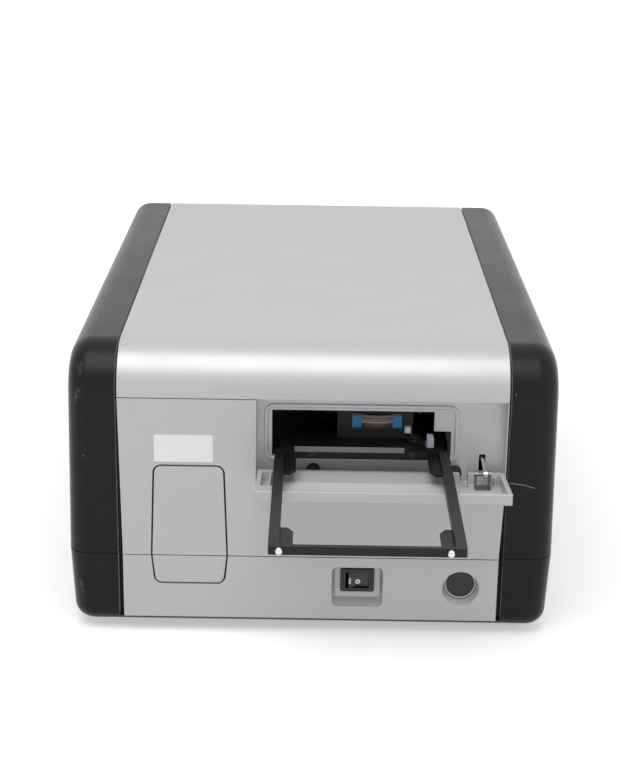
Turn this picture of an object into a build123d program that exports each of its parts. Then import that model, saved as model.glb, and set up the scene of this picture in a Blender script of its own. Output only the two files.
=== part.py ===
from build123d import *
import os

# A benchtop microplate absorbance reader: a light metallic hood and front between two dark
# wrap-round side covers on a dark tub, with the plate carrier driven out through its door.
# Millimetres. +X is the reader's right as its front is faced, +Y runs to the back, +Z is up.
# Every function works with y = 0 on the front face; write() then moves the pieces so that
# the origin is the centre of the footprint of the whole reader, carrier out, on the bench.

# ---- driving sizes of the case -------------------------------------------------------------
DEPTH = 381.0
HOOD_HALF = 108.8          # half width of the light strip: hood and upper front
LOWER_IN = 1.5             # the front narrows by this, each side, down to the lower front
REVEAL = 1.3               # shadow gap between the light and the dark mouldings
COVER_W = 28.6             # width of a side cover at the seam
FOOT_H = 4.5
FOOT_R = 9.0
FOOT_IN = 31.0             # from the case's sides and ends to the feet's centres
TUB_LIP = 5.0              # dark strip that shows under the lower front panel
LOWER_H = 38.9
UPPER_H = 94.7
HOOD_R = 27.1              # round from the hood's top to its front
COVER_R = 12.2             # round from a cover's outer side to its top and front
BACK_R = 13.0
TUB_EDGE_R = 10.0
COVER_DRAFT = 1.9          # a cover narrows by this much from the seam to the top
TUB_DRAFT = 2.3            # the tub narrows by this much from the seam to its underside
WALL = 3.0
HOOD_T = 2.5
SEAM_GAP = 0.5
LIP_DROP = 5.0             # a cover's inner lip lies this far under its outer skin
LIP_T = 1.8

TUB_Z = FOOT_H
PANEL_Z = TUB_Z + TUB_LIP
SEAM_Z = PANEL_Z + LOWER_H
HOOD_Z = SEAM_Z + UPPER_H
TOP_Z = HOOD_Z + HOOD_R
COVER_IN = HOOD_HALF + REVEAL
COVER_HALF = COVER_IN + COVER_W
LOWER_HALF = HOOD_HALF - LOWER_IN
LIP_GAP = 0.4              # from the light panels' side to a lip
LIP_W = 2.0
HOOD_RIB_HALF = 1.0
HOOD_RIB_H = 3.0

# ---- door and the recess that it closes ----------------------------------------------------
PANEL_T = 3.0
RECESS_L = -31.5
RECESS_SIDE_T = 0.8
RECESS_EDGE = 0.5          # from the recess to the side of the panel
RECESS_R = HOOD_HALF - RECESS_EDGE
RECESS_DEPTH = 13.0
RECESS_WALL_T = 2.5
DOOR_T = 7.5
DOOR_GAP = 0.6
DOOR_H = 50.0
DOOR_OPEN = 83.0           # degrees from closed
DOOR_SKIN = 1.8
HINGE_Y = DOOR_T / 2
HINGE_Z = HOOD_Z - DOOR_GAP - DOOR_H + DOOR_T / 2
RECESS_Z = HINGE_Z - DOOR_T / 2 - DOOR_GAP
HINGE_PIN_R = 1.5
HINGE_PIN_L = 9.0
RUNNING = 0.05             # radial clearance of a shaft in its bore

# ---- opening in the recess wall, and its raised rim ----------------------------------------
OPEN_SILL = 13.0           # from the recess's floor up to the opening
OPEN_H = 27.8
STEP_W = 9.7               # right-hand part of the opening, which is lower
STEP_H = 16.2
OPEN_SIDE = 2.0            # from the carrier's rails to the opening's sides
RIM_SIDE = 4.3             # from the opening's edge to the outside of the rim
RIM_UP = 3.8
RIM_DOWN = 2.4
RIM_W = 2.2
RIM_H = 1.2
RIM_R = 5.5
RIM_EDGE = 0.6

# ---- plate carrier -------------------------------------------------------------------------
CARRIER_X = 27.7           # its centre line
RAIL_W = 5.5
CARRIER_BACK = 2.6         # its rear edge, behind the front face, driven out
CARRIER_UP = 8.9           # from the opening's sill to its top face
CARRIER_T = 4.5
NEST_L = 128.6             # 127.76 mm microplate with clearance
NEST_HALF = 43.1           # 85.48 mm microplate with clearance
CARRIER_END_T = 2.8
LEDGE_IN = 6.5             # corner ledges reach this far in from the rails
LEDGE_L = 27.0
LEDGE_T = 1.6
LEDGE_CUT = 5.0
LEDGE_SLANT = 3.0
CARRIER_CORNER = 1.2
STUD_R = 2.0
OPEN_Z = RECESS_Z + OPEN_SILL
OPEN_TOP = OPEN_Z + OPEN_H
CARRIER_HALF = NEST_HALF + RAIL_W
CARRIER_OUT = CARRIER_END_T * 2 + NEST_L - CARRIER_BACK
CARRIER_TOP = OPEN_Z + CARRIER_UP
OPEN_L = CARRIER_X - CARRIER_HALF - OPEN_SIDE
OPEN_R = CARRIER_X + CARRIER_HALF + OPEN_SIDE
STEP_X = OPEN_R - STEP_W
STEP_Z = OPEN_Z + STEP_H
CARRIER_LOW = CARRIER_TOP - CARRIER_T

# ---- carriage and its guides ---------------------------------------------------------------
ROD_R = 4.0
ROD_SIDE = 42.0            # from the carrier's centre line
ROD_DOWN = 18.8            # under the carrier's top face
ROD_FRONT = 3.0            # from the recess's back
ROD_BACK = 29.0
ROD_X = (CARRIER_X - ROD_SIDE, CARRIER_X + ROD_SIDE)
ROD_Z = CARRIER_TOP - ROD_DOWN
ROD_Y0 = RECESS_DEPTH + RECESS_WALL_T + ROD_FRONT
ROD_END = DEPTH - ROD_BACK
CARRIAGE_L = 60.0
CARRIAGE_GAP = 2.6         # over the opening's sill
CARRIAGE_Z = OPEN_Z + CARRIAGE_GAP
NOSE_IN = 2.6              # the nose is narrower than the carrier by this, each side
CARRIAGE_HALF = CARRIER_HALF - NOSE_IN
BEARING_HALF = 8.0
EAR_EDGE = 3.0             # the ear reaches this far beyond the belt
SADDLE_HALF = 26.0         # window in the saddle
SADDLE_EDGE = 8.0
BELT_SIDE = 59.7           # from the carrier's centre line
BELT_X = CARRIER_X - BELT_SIDE
BELT_W = 6.0
BELT_T = 1.4
PULLEY_R = 6.0
PULLEY_Z = ROD_Z
PULLEY_IN = 15.5           # from the front ends of the rods
PULLEY_BACK = 14.0         # and from their rear ends
PULLEY_Y0 = ROD_Y0 + PULLEY_IN
PULLEY_Y1 = ROD_END - PULLEY_BACK
BELT_GAP = 0.3
GRIP_HALF = 8.0
GRIP_IN = 2.0
GRIP_JAW = 2.8
GRIP_WALL = 2.5
SHAFT_R = 2.5
HUB_SIDE = 0.5
FLANGE_T = 1.0
FLANGE_UP = 2.2
FACE_GAP = 2.5             # from the pulley's flange to the motor's face
SHAFT_END = 0.5
IDLER_T = 8.0
MOTOR = 42.0
MOTOR_L = 34.0
MOTOR_EDGE = 4.0
MOTOR_SHAFT = 12.0

# ---- chassis and optics --------------------------------------------------------------------
CHASSIS_UP = 11.6          # over the seam
CHASSIS_Z = SEAM_Z + CHASSIS_UP
CHASSIS_T = 3.0
CHASSIS_HALF = 100.0
CHASSIS_EDGE = 0.5         # in front of the rods
CHASSIS_REAR = 14.0        # and behind them
CHASSIS_Y0 = ROD_Y0 - CHASSIS_EDGE
CHASSIS_Y1 = ROD_END + CHASSIS_REAR
CHASSIS_TAB = 4.0
CHASSIS_R = 4.0
WINDOW_X = (-8.0, 62.0)     # opening in the chassis for the cables
WINDOW_Y = (70.0, 110.0)
POST_R = 6.0
BEAM_Y = 129.0             # the light passes down through the plate here
BRIDGE_SIDE = 73.0
BRIDGE_L = CARRIER_X - BRIDGE_SIDE
BRIDGE_R = CARRIER_X + BRIDGE_SIDE
BRIDGE_T = 4.0
BRIDGE_HALF = 26.0
SCAN_ROD_R = 2.5
SCAN_ROD_HALF = 14.0
HEAD_HALF = 16.0
LENS_R = 8.0
LENS_UP = 18.2             # over the carrier's top face
LENS_H = 3.0
HEAD_H = 14.8
HEAD_TOP_GAP = 1.2         # under the bridge's top plate
SCAN_ROD_UP = 7.0          # over the head's underside
SCREW_UP = 12.0
LENS_Z = CARRIER_TOP + LENS_UP
HEAD_Z = LENS_Z + LENS_H
HEAD_TOP = HEAD_Z + HEAD_H
SCAN_ROD_Z = HEAD_Z + SCAN_ROD_UP
SCREW_Z = HEAD_Z + SCREW_UP
BRIDGE_TOP = HEAD_TOP + HEAD_TOP_GAP + BRIDGE_T
HEAD_EDGE = 5.0            # beyond the rods
LENS_WALL = 2.0
LENS_IN = 0.6
LENS_T = 2.4
TUNNEL_R = 2.0             # the light's way into the head
BEAM_DOWN = 4.0            # it enters this far under the scan rods
SCREW_OUT = 14.0           # the screw's end in its motor
SCAN_MOTOR_EDGE = 2.0
SCAN_BORE = 15.0
MONO_X0 = -129.0
MONO_X1 = -56.0
MONO_Y0 = 62.0
MONO_Y1 = 240.0
MONO_GAP = 5.0             # under the bridge's top face
MONO_TOP = BRIDGE_TOP - MONO_GAP
MONO_WALL = 4.0
MONO_LID = 3.0
MONO_R = 5.0
TURRET_GAP = 0.3
TURRET_H = 4.7
HOLDER_HALF = 12.0         # the grating's holder on the table
HOLDER_T = 6.0
HOLDER_Y = -4.0
GRATING_HALF = 11.0
GRATING_T = 2.0
GRATING_LOW = 3.0
GRATING_H = 55.0
HOLDER_H = 60.0
MIRROR_HALF = 22.0
MIRROR_Y = 10.0            # from the case's front
MIRROR_T = 8.0
MIRROR_DISH = 2.0
MIRROR_R = 120.0
MIRROR_DOWN = 8.0          # from the lid
LAMP_GAP = 3.0             # from the filter wheel to the lamp and the motor
LAMP_RIGHT = 9.0           # left of the wheel's axis
LAMP_L = 52.0
LAMP_UP = 22.0
FIN_COUNT = 6
FIN_PITCH = 7.0
FIN_GAP = 3.0
FIN_DEEP = 10.0
FIN_START = 12.0
LAMP_WINDOW = 6.0
WHEEL_SHAFT_R = 2.0
WHEEL_SHAFT_L = 16.0
WHEEL_MOTOR_R = 13.0
WHEEL_MOTOR_L = 20.0
WHEEL_MOTOR_X = 6.0        # its body stands off the shaft by this, as a geared motor's
WHEEL_FOOT = (-4.0, 16.0)
WHEEL_BORE = 14.0
FILTER_IN = 0.5
TURRET_X = -92.0
TURRET_Y = 200.0
TURRET_R = 16.0
WHEEL_X = -85.0
WHEEL_UP = 45.0            # over the chassis
WHEEL_Z = CHASSIS_Z + CHASSIS_T + WHEEL_UP
WHEEL_R = 30.0
WHEEL_T = 3.0
WHEEL_GAP = 10.0           # behind the monochromator
WHEEL_Y = MONO_Y1 + WHEEL_GAP
FILTER_R = 6.0
FILTER_PCR = 20.0
FILTER_COUNT = 6

BUSH_T = 1.5
BUSH_L = 10.0
STUD_IN = (5.4, 8.0)       # from the carrier's left and right sides
STUD_X = (CARRIER_X - CARRIER_HALF + STUD_IN[0], CARRIER_X + CARRIER_HALF - STUD_IN[1])
STUD_DOWN = 2.4
STUD_Z = CARRIER_TOP - STUD_DOWN
STUD_SHANK_R = 1.0
JOIN_HALF = 28.0
JOIN_X = (CARRIER_X - JOIN_HALF, CARRIER_X + JOIN_HALF)
JOIN_DOWN = 2.2
JOIN_Z = CARRIER_TOP - JOIN_DOWN
JOIN_R = 1.5
JOIN_L = 8.0
JOIN_HEAD_R = 2.0          # heads sunk in the nest's back wall
JOIN_SINK = 1.3
SINK_GAP = 0.2
CLAMP_TIP = (CARRIER_X + 36.4, CARRIER_BACK + 2.0)
CLAMP_PIN_R = 1.5
CLAMP_EYE_R = 4.2
CLAMP_SIDE = 30.2
CLAMP_BACK = 13.0
CLAMP_SEAT = 4.0
CLAMP_GAP = 0.3
CLAMP_HEAD_R = 3.2
CLAMP_HEAD_T = 1.2
CLAMP_T = 2.2
CLAMP_FINGER = 7.2
CLAMP_NOSE_Y = CARRIER_BACK - 4.1
CLAMP_NOSE_H = 4.6
CLAMP_W = 3.5
BOARD_X0 = CARRIER_X - 13.7
BOARD_X1 = CARRIER_X + 29.3
BOARD_Y = CARRIER_BACK + 18.4
BOARD_T = 1.6
BOARD_TOP = CARRIER_TOP + 16.2
FLEX_X0 = CARRIER_X - 5.2
FLEX_X1 = CARRIER_X + 22.9
FLEX_END = 5.2
FLEX_Z0 = CARRIER_TOP + 5.6
FLEX_Z1 = CARRIER_TOP + 15.0
FLEX_BOW = 2.0
FLEX_END_T = 1.0
FLEX_MID = 0.5
FLEX_T = 0.4
FLEX_MARGIN = 0.8
SENSOR_X = CARRIER_X + 26.3
SENSOR_Z = CARRIER_TOP + 5.8
SENSOR_HALF = 1.7
SENSOR_T = 3.0
SENSOR_EYE = 1.0
STAND_T = 10.0
BEARING_GAP = 1.5          # from the stands at rest
BEARING_Y = ROD_Y0 + STAND_T + BEARING_GAP
STAND_HALF = 7.0
SCREW_R = 2.5
SCAN_MOTOR = 20.0
SCAN_MOTOR_L = 22.0
PORT_R = 4.0
WELL_ROWS = 8
WELL_PITCH = 9.0
DETECTOR_WIDE = 38.0
DETECTOR_DEEP = 16.0
DIODE_R = 3.4
DIODE_H = 4.0
DIODE_WINDOW = 0.8

# ---- controls and small parts on the front -------------------------------------------------
SWITCH_X = 26.95
SWITCH_UP = 23.5           # over the lower front's edge
SWITCH_Z = PANEL_Z + SWITCH_UP
SWITCH_W = 19.5
SWITCH_H = 13.8
POCKET_SIDE = 3.7          # the pocket's floor goes this far beyond the switch at its sides
POCKET_ABOVE = 1.2
POCKET_BELOW = 5.2
POCKET_DEPTH = 4.0
GROOVE = 1.5               # the pocket is this much deeper round the switch's pad
PAD_SIDE = 2.9             # the pad goes this far beyond the switch at its sides
PAD_ABOVE = 0.6
PAD_BELOW = 3.7
FLARE_SIDE = 1.25          # and its mouth this far beyond the floor
FLARE_ABOVE = 0.9
FLARE_BELOW = 3.6
POCKET_R = 2.0
ROCKER_TILT = 10.0
ROCKER_GAP = 0.35
ROCKER_SIDE = 0.9          # gap at its two ends, which swing
BUTTON_IN = 22.5           # from the hood's right-hand edge
BUTTON_X = HOOD_HALF - BUTTON_IN
BUTTON_UP = 21.4
BUTTON_Z = PANEL_Z + BUTTON_UP
BUTTON_R = 7.95
BUTTON_RING_R = 9.3
BUTTON_DEPTH = 6.0
BUTTON_STEP = 3.0          # the pocket's mouth is flared to this depth, and straight behind it
BUTTON_FLARE = 1.2         # the pocket widens by this, downwards, to its mouth
BUTTON_RING_GAP = 0.1      # round the ring on the pocket's floor
BLANK_IN = 39.5            # from the hood's left-hand edge
BLANK_X = BLANK_IN - HOOD_HALF
BLANK_UP = 54.2            # over the seam
BLANK_DOWN = 17.0          # and under it
BLANK_TOP = SEAM_Z + BLANK_UP
BLANK_BOTTOM = SEAM_Z - BLANK_DOWN
BLANK_END_HALF = 19.2
BLANK_SEAM_HALF = 21.1
BLANK_R = 4.0
BLANK_GAP = 1.0
GASKET_OUT = 2.5
GASKET_IN = 3.0
GASKET_T = 1.2
LABEL_SIDE = 2.8
LABEL_UP = 10.8
LABEL_X = BLANK_X - LABEL_SIDE
LABEL_Z = BLANK_TOP + LABEL_UP
LABEL_W = 33.0
LABEL_H = 16.0
LABEL_T = 0.3
BUMPER_R = 3.8
BUMPER_GAP = 0.3
BUMPER_EDGE = 1.5
SLOT_IN = 11.9             # from the recess's right-hand side
SLOT_X = RECESS_R - SLOT_IN
SLOT_UP = 5.1              # over the recess's floor
SLOT_H = 10.6
SLOT_W = 3.6
SLOT_Z0 = RECESS_Z + SLOT_UP
SLOT_Z1 = SLOT_Z0 + SLOT_H
BUMPER_IN = (32.3, 15.4)   # from the recess's left-hand side and from the slot
BUMPER_X = (RECESS_L + BUMPER_IN[0], SLOT_X - BUMPER_IN[1])
BUMPER_UP = 5.2
BUMPER_Z = RECESS_Z + BUMPER_UP

WALL_BEHIND = 2.0          # plate behind a pocket
BEZEL_T = 2.0
SWITCH_FLANGE = 1.5
SWITCH_BACK = 24.0
ROCKER_HALF_W = 5.8
ROCKER_HALF_H = 4.5
ROCKER_Y = 7.0
ROCKER_RISE = 4.6
ROCKER_PIN_R = 0.8
ROCKER_PIN_IN = 0.5
ROCKER_DIP = 1.5           # its two faces meet this much deeper than their ends
ROCKER_SKIRT = 1.3
ROCKER_NOSE_W = 3.0
ROCKER_NOSE = 2.4
BEZEL_R = 1.0
SWITCH_FLOOR = 3.0
BUTTON_GAP = 0.15
BUTTON_BACK = 24.0
BUTTON_FLOOR = 2.0
BUTTON_GUIDE = 1.0         # the guide is this much smaller than the ring
BUTTON_RING_EDGE = 0.6
BUTTON_EDGE = 0.5
BUTTON_SKIN = 1.5
BUTTON_HOLLOW = 4.0
SPRING_WIRE = 0.35
SPRING_R = 4.7
SPRING_TURNS = 5
BUTTON_CAP_L = 10.0
BUTTON_DISH = 1.2
DISH_R = 22.0
DOOR_EDGE = 2.5
TRAY_W = 28.5
RAMP_IN = 13.4
RAMP_FOOT = 19.0
RAMP_L = 11.0
RAMP_DEEP = 4.2
DOOR_FOOT = 1.0
NOTCH_X = (82.8, 87.6)      # notch through the door beside the link, from its hinged edge
NOTCH_H = 11.0
DOOR_TIP_R = 0.8
DOOR_TAPER = 1.3           # the outer face draws back by this towards the door's tip
DOOR_TAPER_L = 9.0
DOOR_SIDE_GAP = 0.3        # between its right-hand end and the recess
CELL_W = 4.4               # two small cells at the tray's left-hand end
CELL_PITCH = 5.4
CELL_L = 30.0
BRACKET_HALF = 4.4
BRACKET_SIDE = 1.6         # its centre is left of the slot by this
BRACKET_X = SLOT_X - BRACKET_SIDE
BRACKET_T = 1.0
BRACKET_LONG = 4.2         # half length of its base
BRACKET_EAR = 2.2
RIB_PITCH = 3.0
RIB_T = 1.2
LINK_Y = DOOR_T + 2.5      # the link's pin on the closed door
LINK_Z = HINGE_Z + 13.5
LINK_PIN_R = 1.1
PIN_PROUD = 0.1
LINK_R = 0.9
LINK_L = 34.0
LINK_EYE_R = 2.1
LINK_EYE_T = 1.1           # half thickness of its eye
LINK_HOOK = 5.0
LINK_HOOK_R = 0.7
LINK_RISE = 4.0            # slope of the link with the door open, degrees

# ---- back ----------------------------------------------------------------------------------
REAR_T = 1.5
REAR_IN = 1.8              # narrower than the hood by this, each side
REAR_HALF = HOOD_HALF - REAR_IN
REAR_DOWN = 14.2           # from the top
REAR_TOP = TOP_Z - REAR_DOWN
FAN_X = 40.0
FAN_UP = 45.0              # over the chassis
FAN_Z = CHASSIS_Z + CHASSIS_T + FAN_UP
FAN_SIZE = 40.0
FAN_T = 15.0
FAN_HUB_R = 9.0
FAN_BLADES = 7
INLET_X = -70.0
INLET_UP = 9.0
INLET_Z = CHASSIS_Z + CHASSIS_T + INLET_UP
DATA_X = -30.0
REAR_SCREW_R = 1.5
JACK_R = 3.2
JACK_PIN_R = 1.0
JACK_DEEP = 8.0
PIN_SHORT = 0.5
SOCKET_BACK = 4.0          # solid behind a socket's cavity
SOCKET_PROUD = 0.6
INLET_HALF = (9.0, 6.5)
DATA_HALF = (6.0, 5.5)
DATA_SHELL = 1.7
TONGUE_HALF = (2.8, 1.6)
FAN_EDGE = 2.0
GRILLE_PITCH = 5.0
GRILLE_HALF = 0.8
VENT_IN = 17.0
VENT_X = VENT_IN - REAR_HALF
VENT_L = 60.0
VENT_H = 2.5
VENT_PITCH = 6.0
VENT_DOWN = 14.0
VENT_COUNT = 8
REAR_SCREW_IN = 5.5
REAR_SCREW_HEAD = 1.2
REAR_SCREW_L = 8.0
FAN_WALL = 1.5
FAN_ARM = 2.0
FAN_ARM_IN = 1.0
FAN_CORNER = 3.0
ROTOR_GAP = 1.0
ROTOR_FRONT = 1.0
ROTOR_BACK = 0.5
BLADE_ROOT = 1.2
BLADE_T = 1.0
BLADE_L = 8.0
BLADE_PITCH = 35.0

# ---- electronics ---------------------------------------------------------------------------
STANDOFF_H = 6.0
STANDOFF_R = 3.0
STANDOFF_IN = 5.0
MAIN_X0 = -74.0
MAIN_X1 = 60.0
MAIN_L = 189.0
MAIN_GAP = 13.0            # in front of the power supply
MAIN_PARTS = (             # x, y from the board's corner, width, depth, height
    (22.0, 34.0, 24.0, 24.0, 3.0),
    (66.0, 56.0, 18.0, 18.0, 2.5),
    (90.0, 150.0, 30.0, 8.0, 9.0),
    (14.0, 146.0, 12.0, 12.0, 16.0),
)
SUPPLY_X0 = 2.0
SUPPLY_X1 = 78.0
SUPPLY_L = 98.0
SUPPLY_BACK = 35.0         # from the back
SUPPLY_Y0 = DEPTH - SUPPLY_BACK - SUPPLY_L
SUPPLY_Y1 = DEPTH - SUPPLY_BACK
MAIN_Y1 = SUPPLY_Y0 - MAIN_GAP
MAIN_Y0 = MAIN_Y1 - MAIN_L
SUPPLY_H = 36.0
SUPPLY_EDGE = 8.0
SUPPLY_SLOT = 4.0
SUPPLY_SLOTS = 8

# footprint centre of the whole reader with its carrier out
Y_MIN = -CARRIER_OUT - STUD_R
Y_CENTRE = (Y_MIN + DEPTH) / 2


def write(node, shape):
    """Put a piece into the reader's frame and store it under its node's name."""
    export_step(Pos(0, -Y_CENTRE, 0) * shape, f"parts/{node}.step")


def block(x0, x1, y0, y1, z0, z1):
    """A box between two corners."""
    size = Box(x1 - x0, y1 - y0, z1 - z0)
    return Pos((x0 + x1) / 2, (y0 + y1) / 2, (z0 + z1) / 2) * size


def rod_x(x0, x1, y, z, r):
    """A round bar along X."""
    return Pos((x0 + x1) / 2, y, z) * Rot(0, 90, 0) * Cylinder(r, x1 - x0)


def rod_y(x, y0, y1, z, r):
    """A round bar along Y."""
    return Pos(x, (y0 + y1) / 2, z) * Rot(90, 0, 0) * Cylinder(r, y1 - y0)


def rod_z(x, y, z0, z1, r):
    """A round bar along Z."""
    return Pos(x, y, (z0 + z1) / 2) * Cylinder(r, z1 - z0)


def prism_x(points, x0, x1):
    """A polygon of (y, z) points carried from x0 to x1."""
    face = make_face(Polyline([(x0, y, z) for y, z in points], close=True))
    return extrude(face, amount=x1 - x0, dir=(1, 0, 0))


def prism_y(points, y0, y1):
    """A polygon of (x, z) points carried from y0 to y1."""
    face = make_face(Polyline([(x, y0, z) for x, z in points], close=True))
    return extrude(face, amount=y1 - y0, dir=(0, 1, 0))


def prism_z(points, z0, z1):
    """A polygon of (x, y) points carried from z0 to z1."""
    face = make_face(Polyline([(x, y, z0) for x, y in points], close=True))
    return extrude(face, amount=z1 - z0, dir=(0, 0, 1))


def upright(part):
    """The edges of a part that stand along Z."""
    return part.edges().filter_by(Axis.Z)


def along_y(part):
    """The edges of a part that run along Y."""
    return part.edges().filter_by(Axis.Y)


# ---- case ----------------------------------------------------------------------------------
def crown(x0, x1, z0, inset, round_back=True):
    """The case's side profile above z0, drawn in by inset: upright front, round, flat top, back."""
    body = block(x0, x1, inset, DEPTH - inset, SEAM_Z / 2, TOP_Z - inset)
    top = body.edges().filter_by(Axis.X).group_by(Axis.Z)[-1].sort_by(Axis.Y)
    body = fillet(top[0], HOOD_R - inset)
    if round_back:
        top = body.edges().filter_by(Axis.X).group_by(Axis.Z)[-1].sort_by(Axis.Y)
        body = fillet(top[-1], BACK_R - inset)
    return body & block(x0, x1, inset, DEPTH - inset, z0, TOP_Z)


def hood():
    """The light top cover: a bent sheet from the door's upper edge over to the back."""
    skin = crown(-HOOD_HALF, HOOD_HALF, HOOD_Z, 0) - crown(-HOOD_HALF, HOOD_HALF, HOOD_Z - 1, HOOD_T)
    hem = block(-HOOD_HALF, HOOD_HALF, DEPTH - BACK_R, DEPTH + 1, HOOD_Z - 1, REAR_TOP + SEAM_GAP)
    under = TOP_Z - HOOD_T
    ribs = [block(x - HOOD_RIB_HALF, x + HOOD_RIB_HALF, HOOD_R, DEPTH - BACK_R, under - HOOD_RIB_H, under)
            for x in (-HOOD_HALF / 2, 0, HOOD_HALF / 2)]
    return skin - hem + ribs


def cover_form(inset, x_in, z0):
    """A right-hand side cover's outer form above z0, drawn in by inset."""
    slope = COVER_DRAFT / (TOP_Z - SEAM_Z)
    low = COVER_HALF - inset + slope * (SEAM_Z - z0)
    face = [(x_in, z0), (low, z0), (COVER_HALF - inset - COVER_DRAFT, TOP_Z), (x_in, TOP_Z)]
    body = crown(x_in, COVER_HALF + 5, z0, inset, round_back=False) & prism_y(face, 0, DEPTH)
    side = body.faces().sort_by(Axis.X)[-1].edges()
    rim = [e for e in side if e.center().Z > z0 + 1 and e.center().Y < DEPTH - inset - 1]
    body = fillet(rim, COVER_R - inset)
    back = body.faces().sort_by(Axis.Y)[-1].edges()
    rim = [e for e in back if e.center().Z > z0 + 1 and e.center().X > x_in + 0.1]
    return fillet(rim, BACK_R - inset)


def side_cover():
    """The right-hand dark cover: a shell with a lip that passes behind the shadow gap."""
    outer = cover_form(0, COVER_IN, SEAM_Z + SEAM_GAP)
    inner = cover_form(WALL, COVER_IN - 1, SEAM_Z - 1)
    lip_in = HOOD_HALF + LIP_GAP
    lip = crown(lip_in, COVER_IN + LIP_W, SEAM_Z + SEAM_GAP, LIP_DROP)
    lip -= crown(lip_in - 1, COVER_IN + LIP_W + 1, SEAM_Z - 1, LIP_DROP + LIP_T)
    web = crown(COVER_IN, COVER_IN + LIP_W, SEAM_Z + SEAM_GAP, 0)
    web -= crown(COVER_IN - 1, COVER_IN + LIP_W + 1, SEAM_Z - 1, LIP_DROP + LIP_T)
    return outer - inner + web + lip


def tub_form(inset, z0, z1):
    """The tub's form between two heights, drawn in by inset: round corners, sides in draft."""
    faces = []
    for z in (z0, z1):
        half = COVER_HALF - inset - TUB_DRAFT * (SEAM_Z - z) / (SEAM_Z - TUB_Z)
        plan = block(-half, half, inset, DEPTH - inset, z, z + 1)
        sides = upright(plan).group_by(Axis.Y)
        plan = fillet(sides[0], COVER_R - inset)
        plan = fillet(upright(plan).group_by(Axis.Y)[-1], BACK_R - inset)
        faces.append(plan.faces().sort_by(Axis.Z)[0])
    body = loft(faces)
    rim = body.faces().sort_by(Axis.Z)[0].edges()
    return fillet(rim, TUB_EDGE_R - inset)


def base_tub():
    """The dark lower tub, with the lips behind the shadow gaps and a ledge for the rear panel."""
    tub = tub_form(0, TUB_Z, SEAM_Z) - tub_form(WALL, TUB_Z + WALL, SEAM_Z + 1)
    tub -= block(-COVER_IN, COVER_IN, -1, WALL + 1, PANEL_Z - SEAM_GAP, SEAM_Z + 1)
    for side in (-1, 1):
        lip_x = sorted((side * (LOWER_HALF + SEAM_GAP), side * (COVER_IN + LIP_W)))
        web_x = sorted((side * COVER_IN, side * (COVER_IN + LIP_W)))
        tub += block(*lip_x, LIP_DROP, LIP_DROP + LIP_T, TUB_Z + WALL, SEAM_Z)
        tub += block(*web_x, WALL, LIP_DROP, TUB_Z + WALL, SEAM_Z)
    return tub


def foot_places():
    """Centres of the four feet."""
    half = COVER_HALF - FOOT_IN
    return [(x, y) for x in (-half, half) for y in (FOOT_IN, DEPTH - FOOT_IN)]


def feet():
    """Four rubber feet under the tub."""
    return Compound(children=[rod_z(x, y, 0, FOOT_H, FOOT_R) for x, y in foot_places()])


def rear_panel():
    """The steel back: vent slots, and holes for the fan, the power inlet and the data socket."""
    y0 = DEPTH - WALL
    y1 = y0 + REAR_T
    plate = block(-REAR_HALF, REAR_HALF, y0, y1, SEAM_Z + SEAM_GAP, REAR_TOP)
    plate -= rod_y(FAN_X, y0 - 1, y1 + 1, FAN_Z, FAN_SIZE / 2 - FAN_EDGE)
    for x in (FAN_X - GRILLE_PITCH, FAN_X, FAN_X + GRILLE_PITCH):
        plate += block(x - GRILLE_HALF, x + GRILLE_HALF, y0, y1, FAN_Z - FAN_SIZE / 2, FAN_Z + FAN_SIZE / 2)
    for n in range(VENT_COUNT):
        low = REAR_TOP - VENT_DOWN - VENT_PITCH * n
        plate -= block(VENT_X, VENT_X + VENT_L, y0 - 1, y1 + 1, low, low + VENT_H)
    for x, half in ((INLET_X, INLET_HALF), (DATA_X, DATA_HALF)):
        plate -= block(x - half[0], x + half[0], y0 - 1, DEPTH, INLET_Z - half[1], INLET_Z + half[1])
    for x, z in rear_screw_places():
        plate -= rod_y(x, y0 - 1, DEPTH, z, REAR_SCREW_R)
    return plate


def rear_screw_places():
    """Centres of the rear panel's screws."""
    x = REAR_HALF - REAR_SCREW_IN
    low = SEAM_Z + SEAM_GAP + REAR_SCREW_IN
    high = REAR_TOP - REAR_SCREW_IN
    return [(i, k) for i in (-x, x) for k in (low, (low + high) / 2, high)]


def rear_screws():
    """Round-headed screws that hold the rear panel."""
    y = DEPTH - WALL + REAR_T
    made = []
    for x, z in rear_screw_places():
        head = rod_y(x, y, y + REAR_SCREW_HEAD, z, 2 * REAR_SCREW_R)
        made.append(head + rod_y(x, y - REAR_SCREW_L, y, z, REAR_SCREW_R))
    return Compound(children=made)


def rear_frame():
    """The inner frame that the rear panel screws to: two uprights standing on the chassis."""
    y1 = DEPTH - WALL
    y0 = y1 - REAR_SCREW_L - 1
    made = []
    for side in (-1, 1):
        x = sorted((side * (REAR_HALF - 2 * REAR_SCREW_IN), side * REAR_HALF))
        post = block(*x, y0, y1, CHASSIS_Z + CHASSIS_T, REAR_TOP)
        for px, pz in rear_screw_places():
            post -= rod_y(px, y0 - 1, y1, pz, REAR_SCREW_R)
        made.append(post)
    return Compound(children=made)


def power_inlet():
    """A barrel power jack: a body through the rear panel with a bore and a centre pin."""
    w, h = INLET_HALF
    y0 = DEPTH - WALL
    front = y0 - JACK_DEEP - SOCKET_BACK
    body = block(INLET_X - w, INLET_X + w, front, y0 + REAR_T + SOCKET_PROUD, INLET_Z - h, INLET_Z + h)
    body -= rod_y(INLET_X, y0 - JACK_DEEP, DEPTH, INLET_Z, JACK_R)
    return body + rod_y(INLET_X, y0 - JACK_DEEP, y0 - PIN_SHORT, INLET_Z, JACK_PIN_R)


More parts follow.
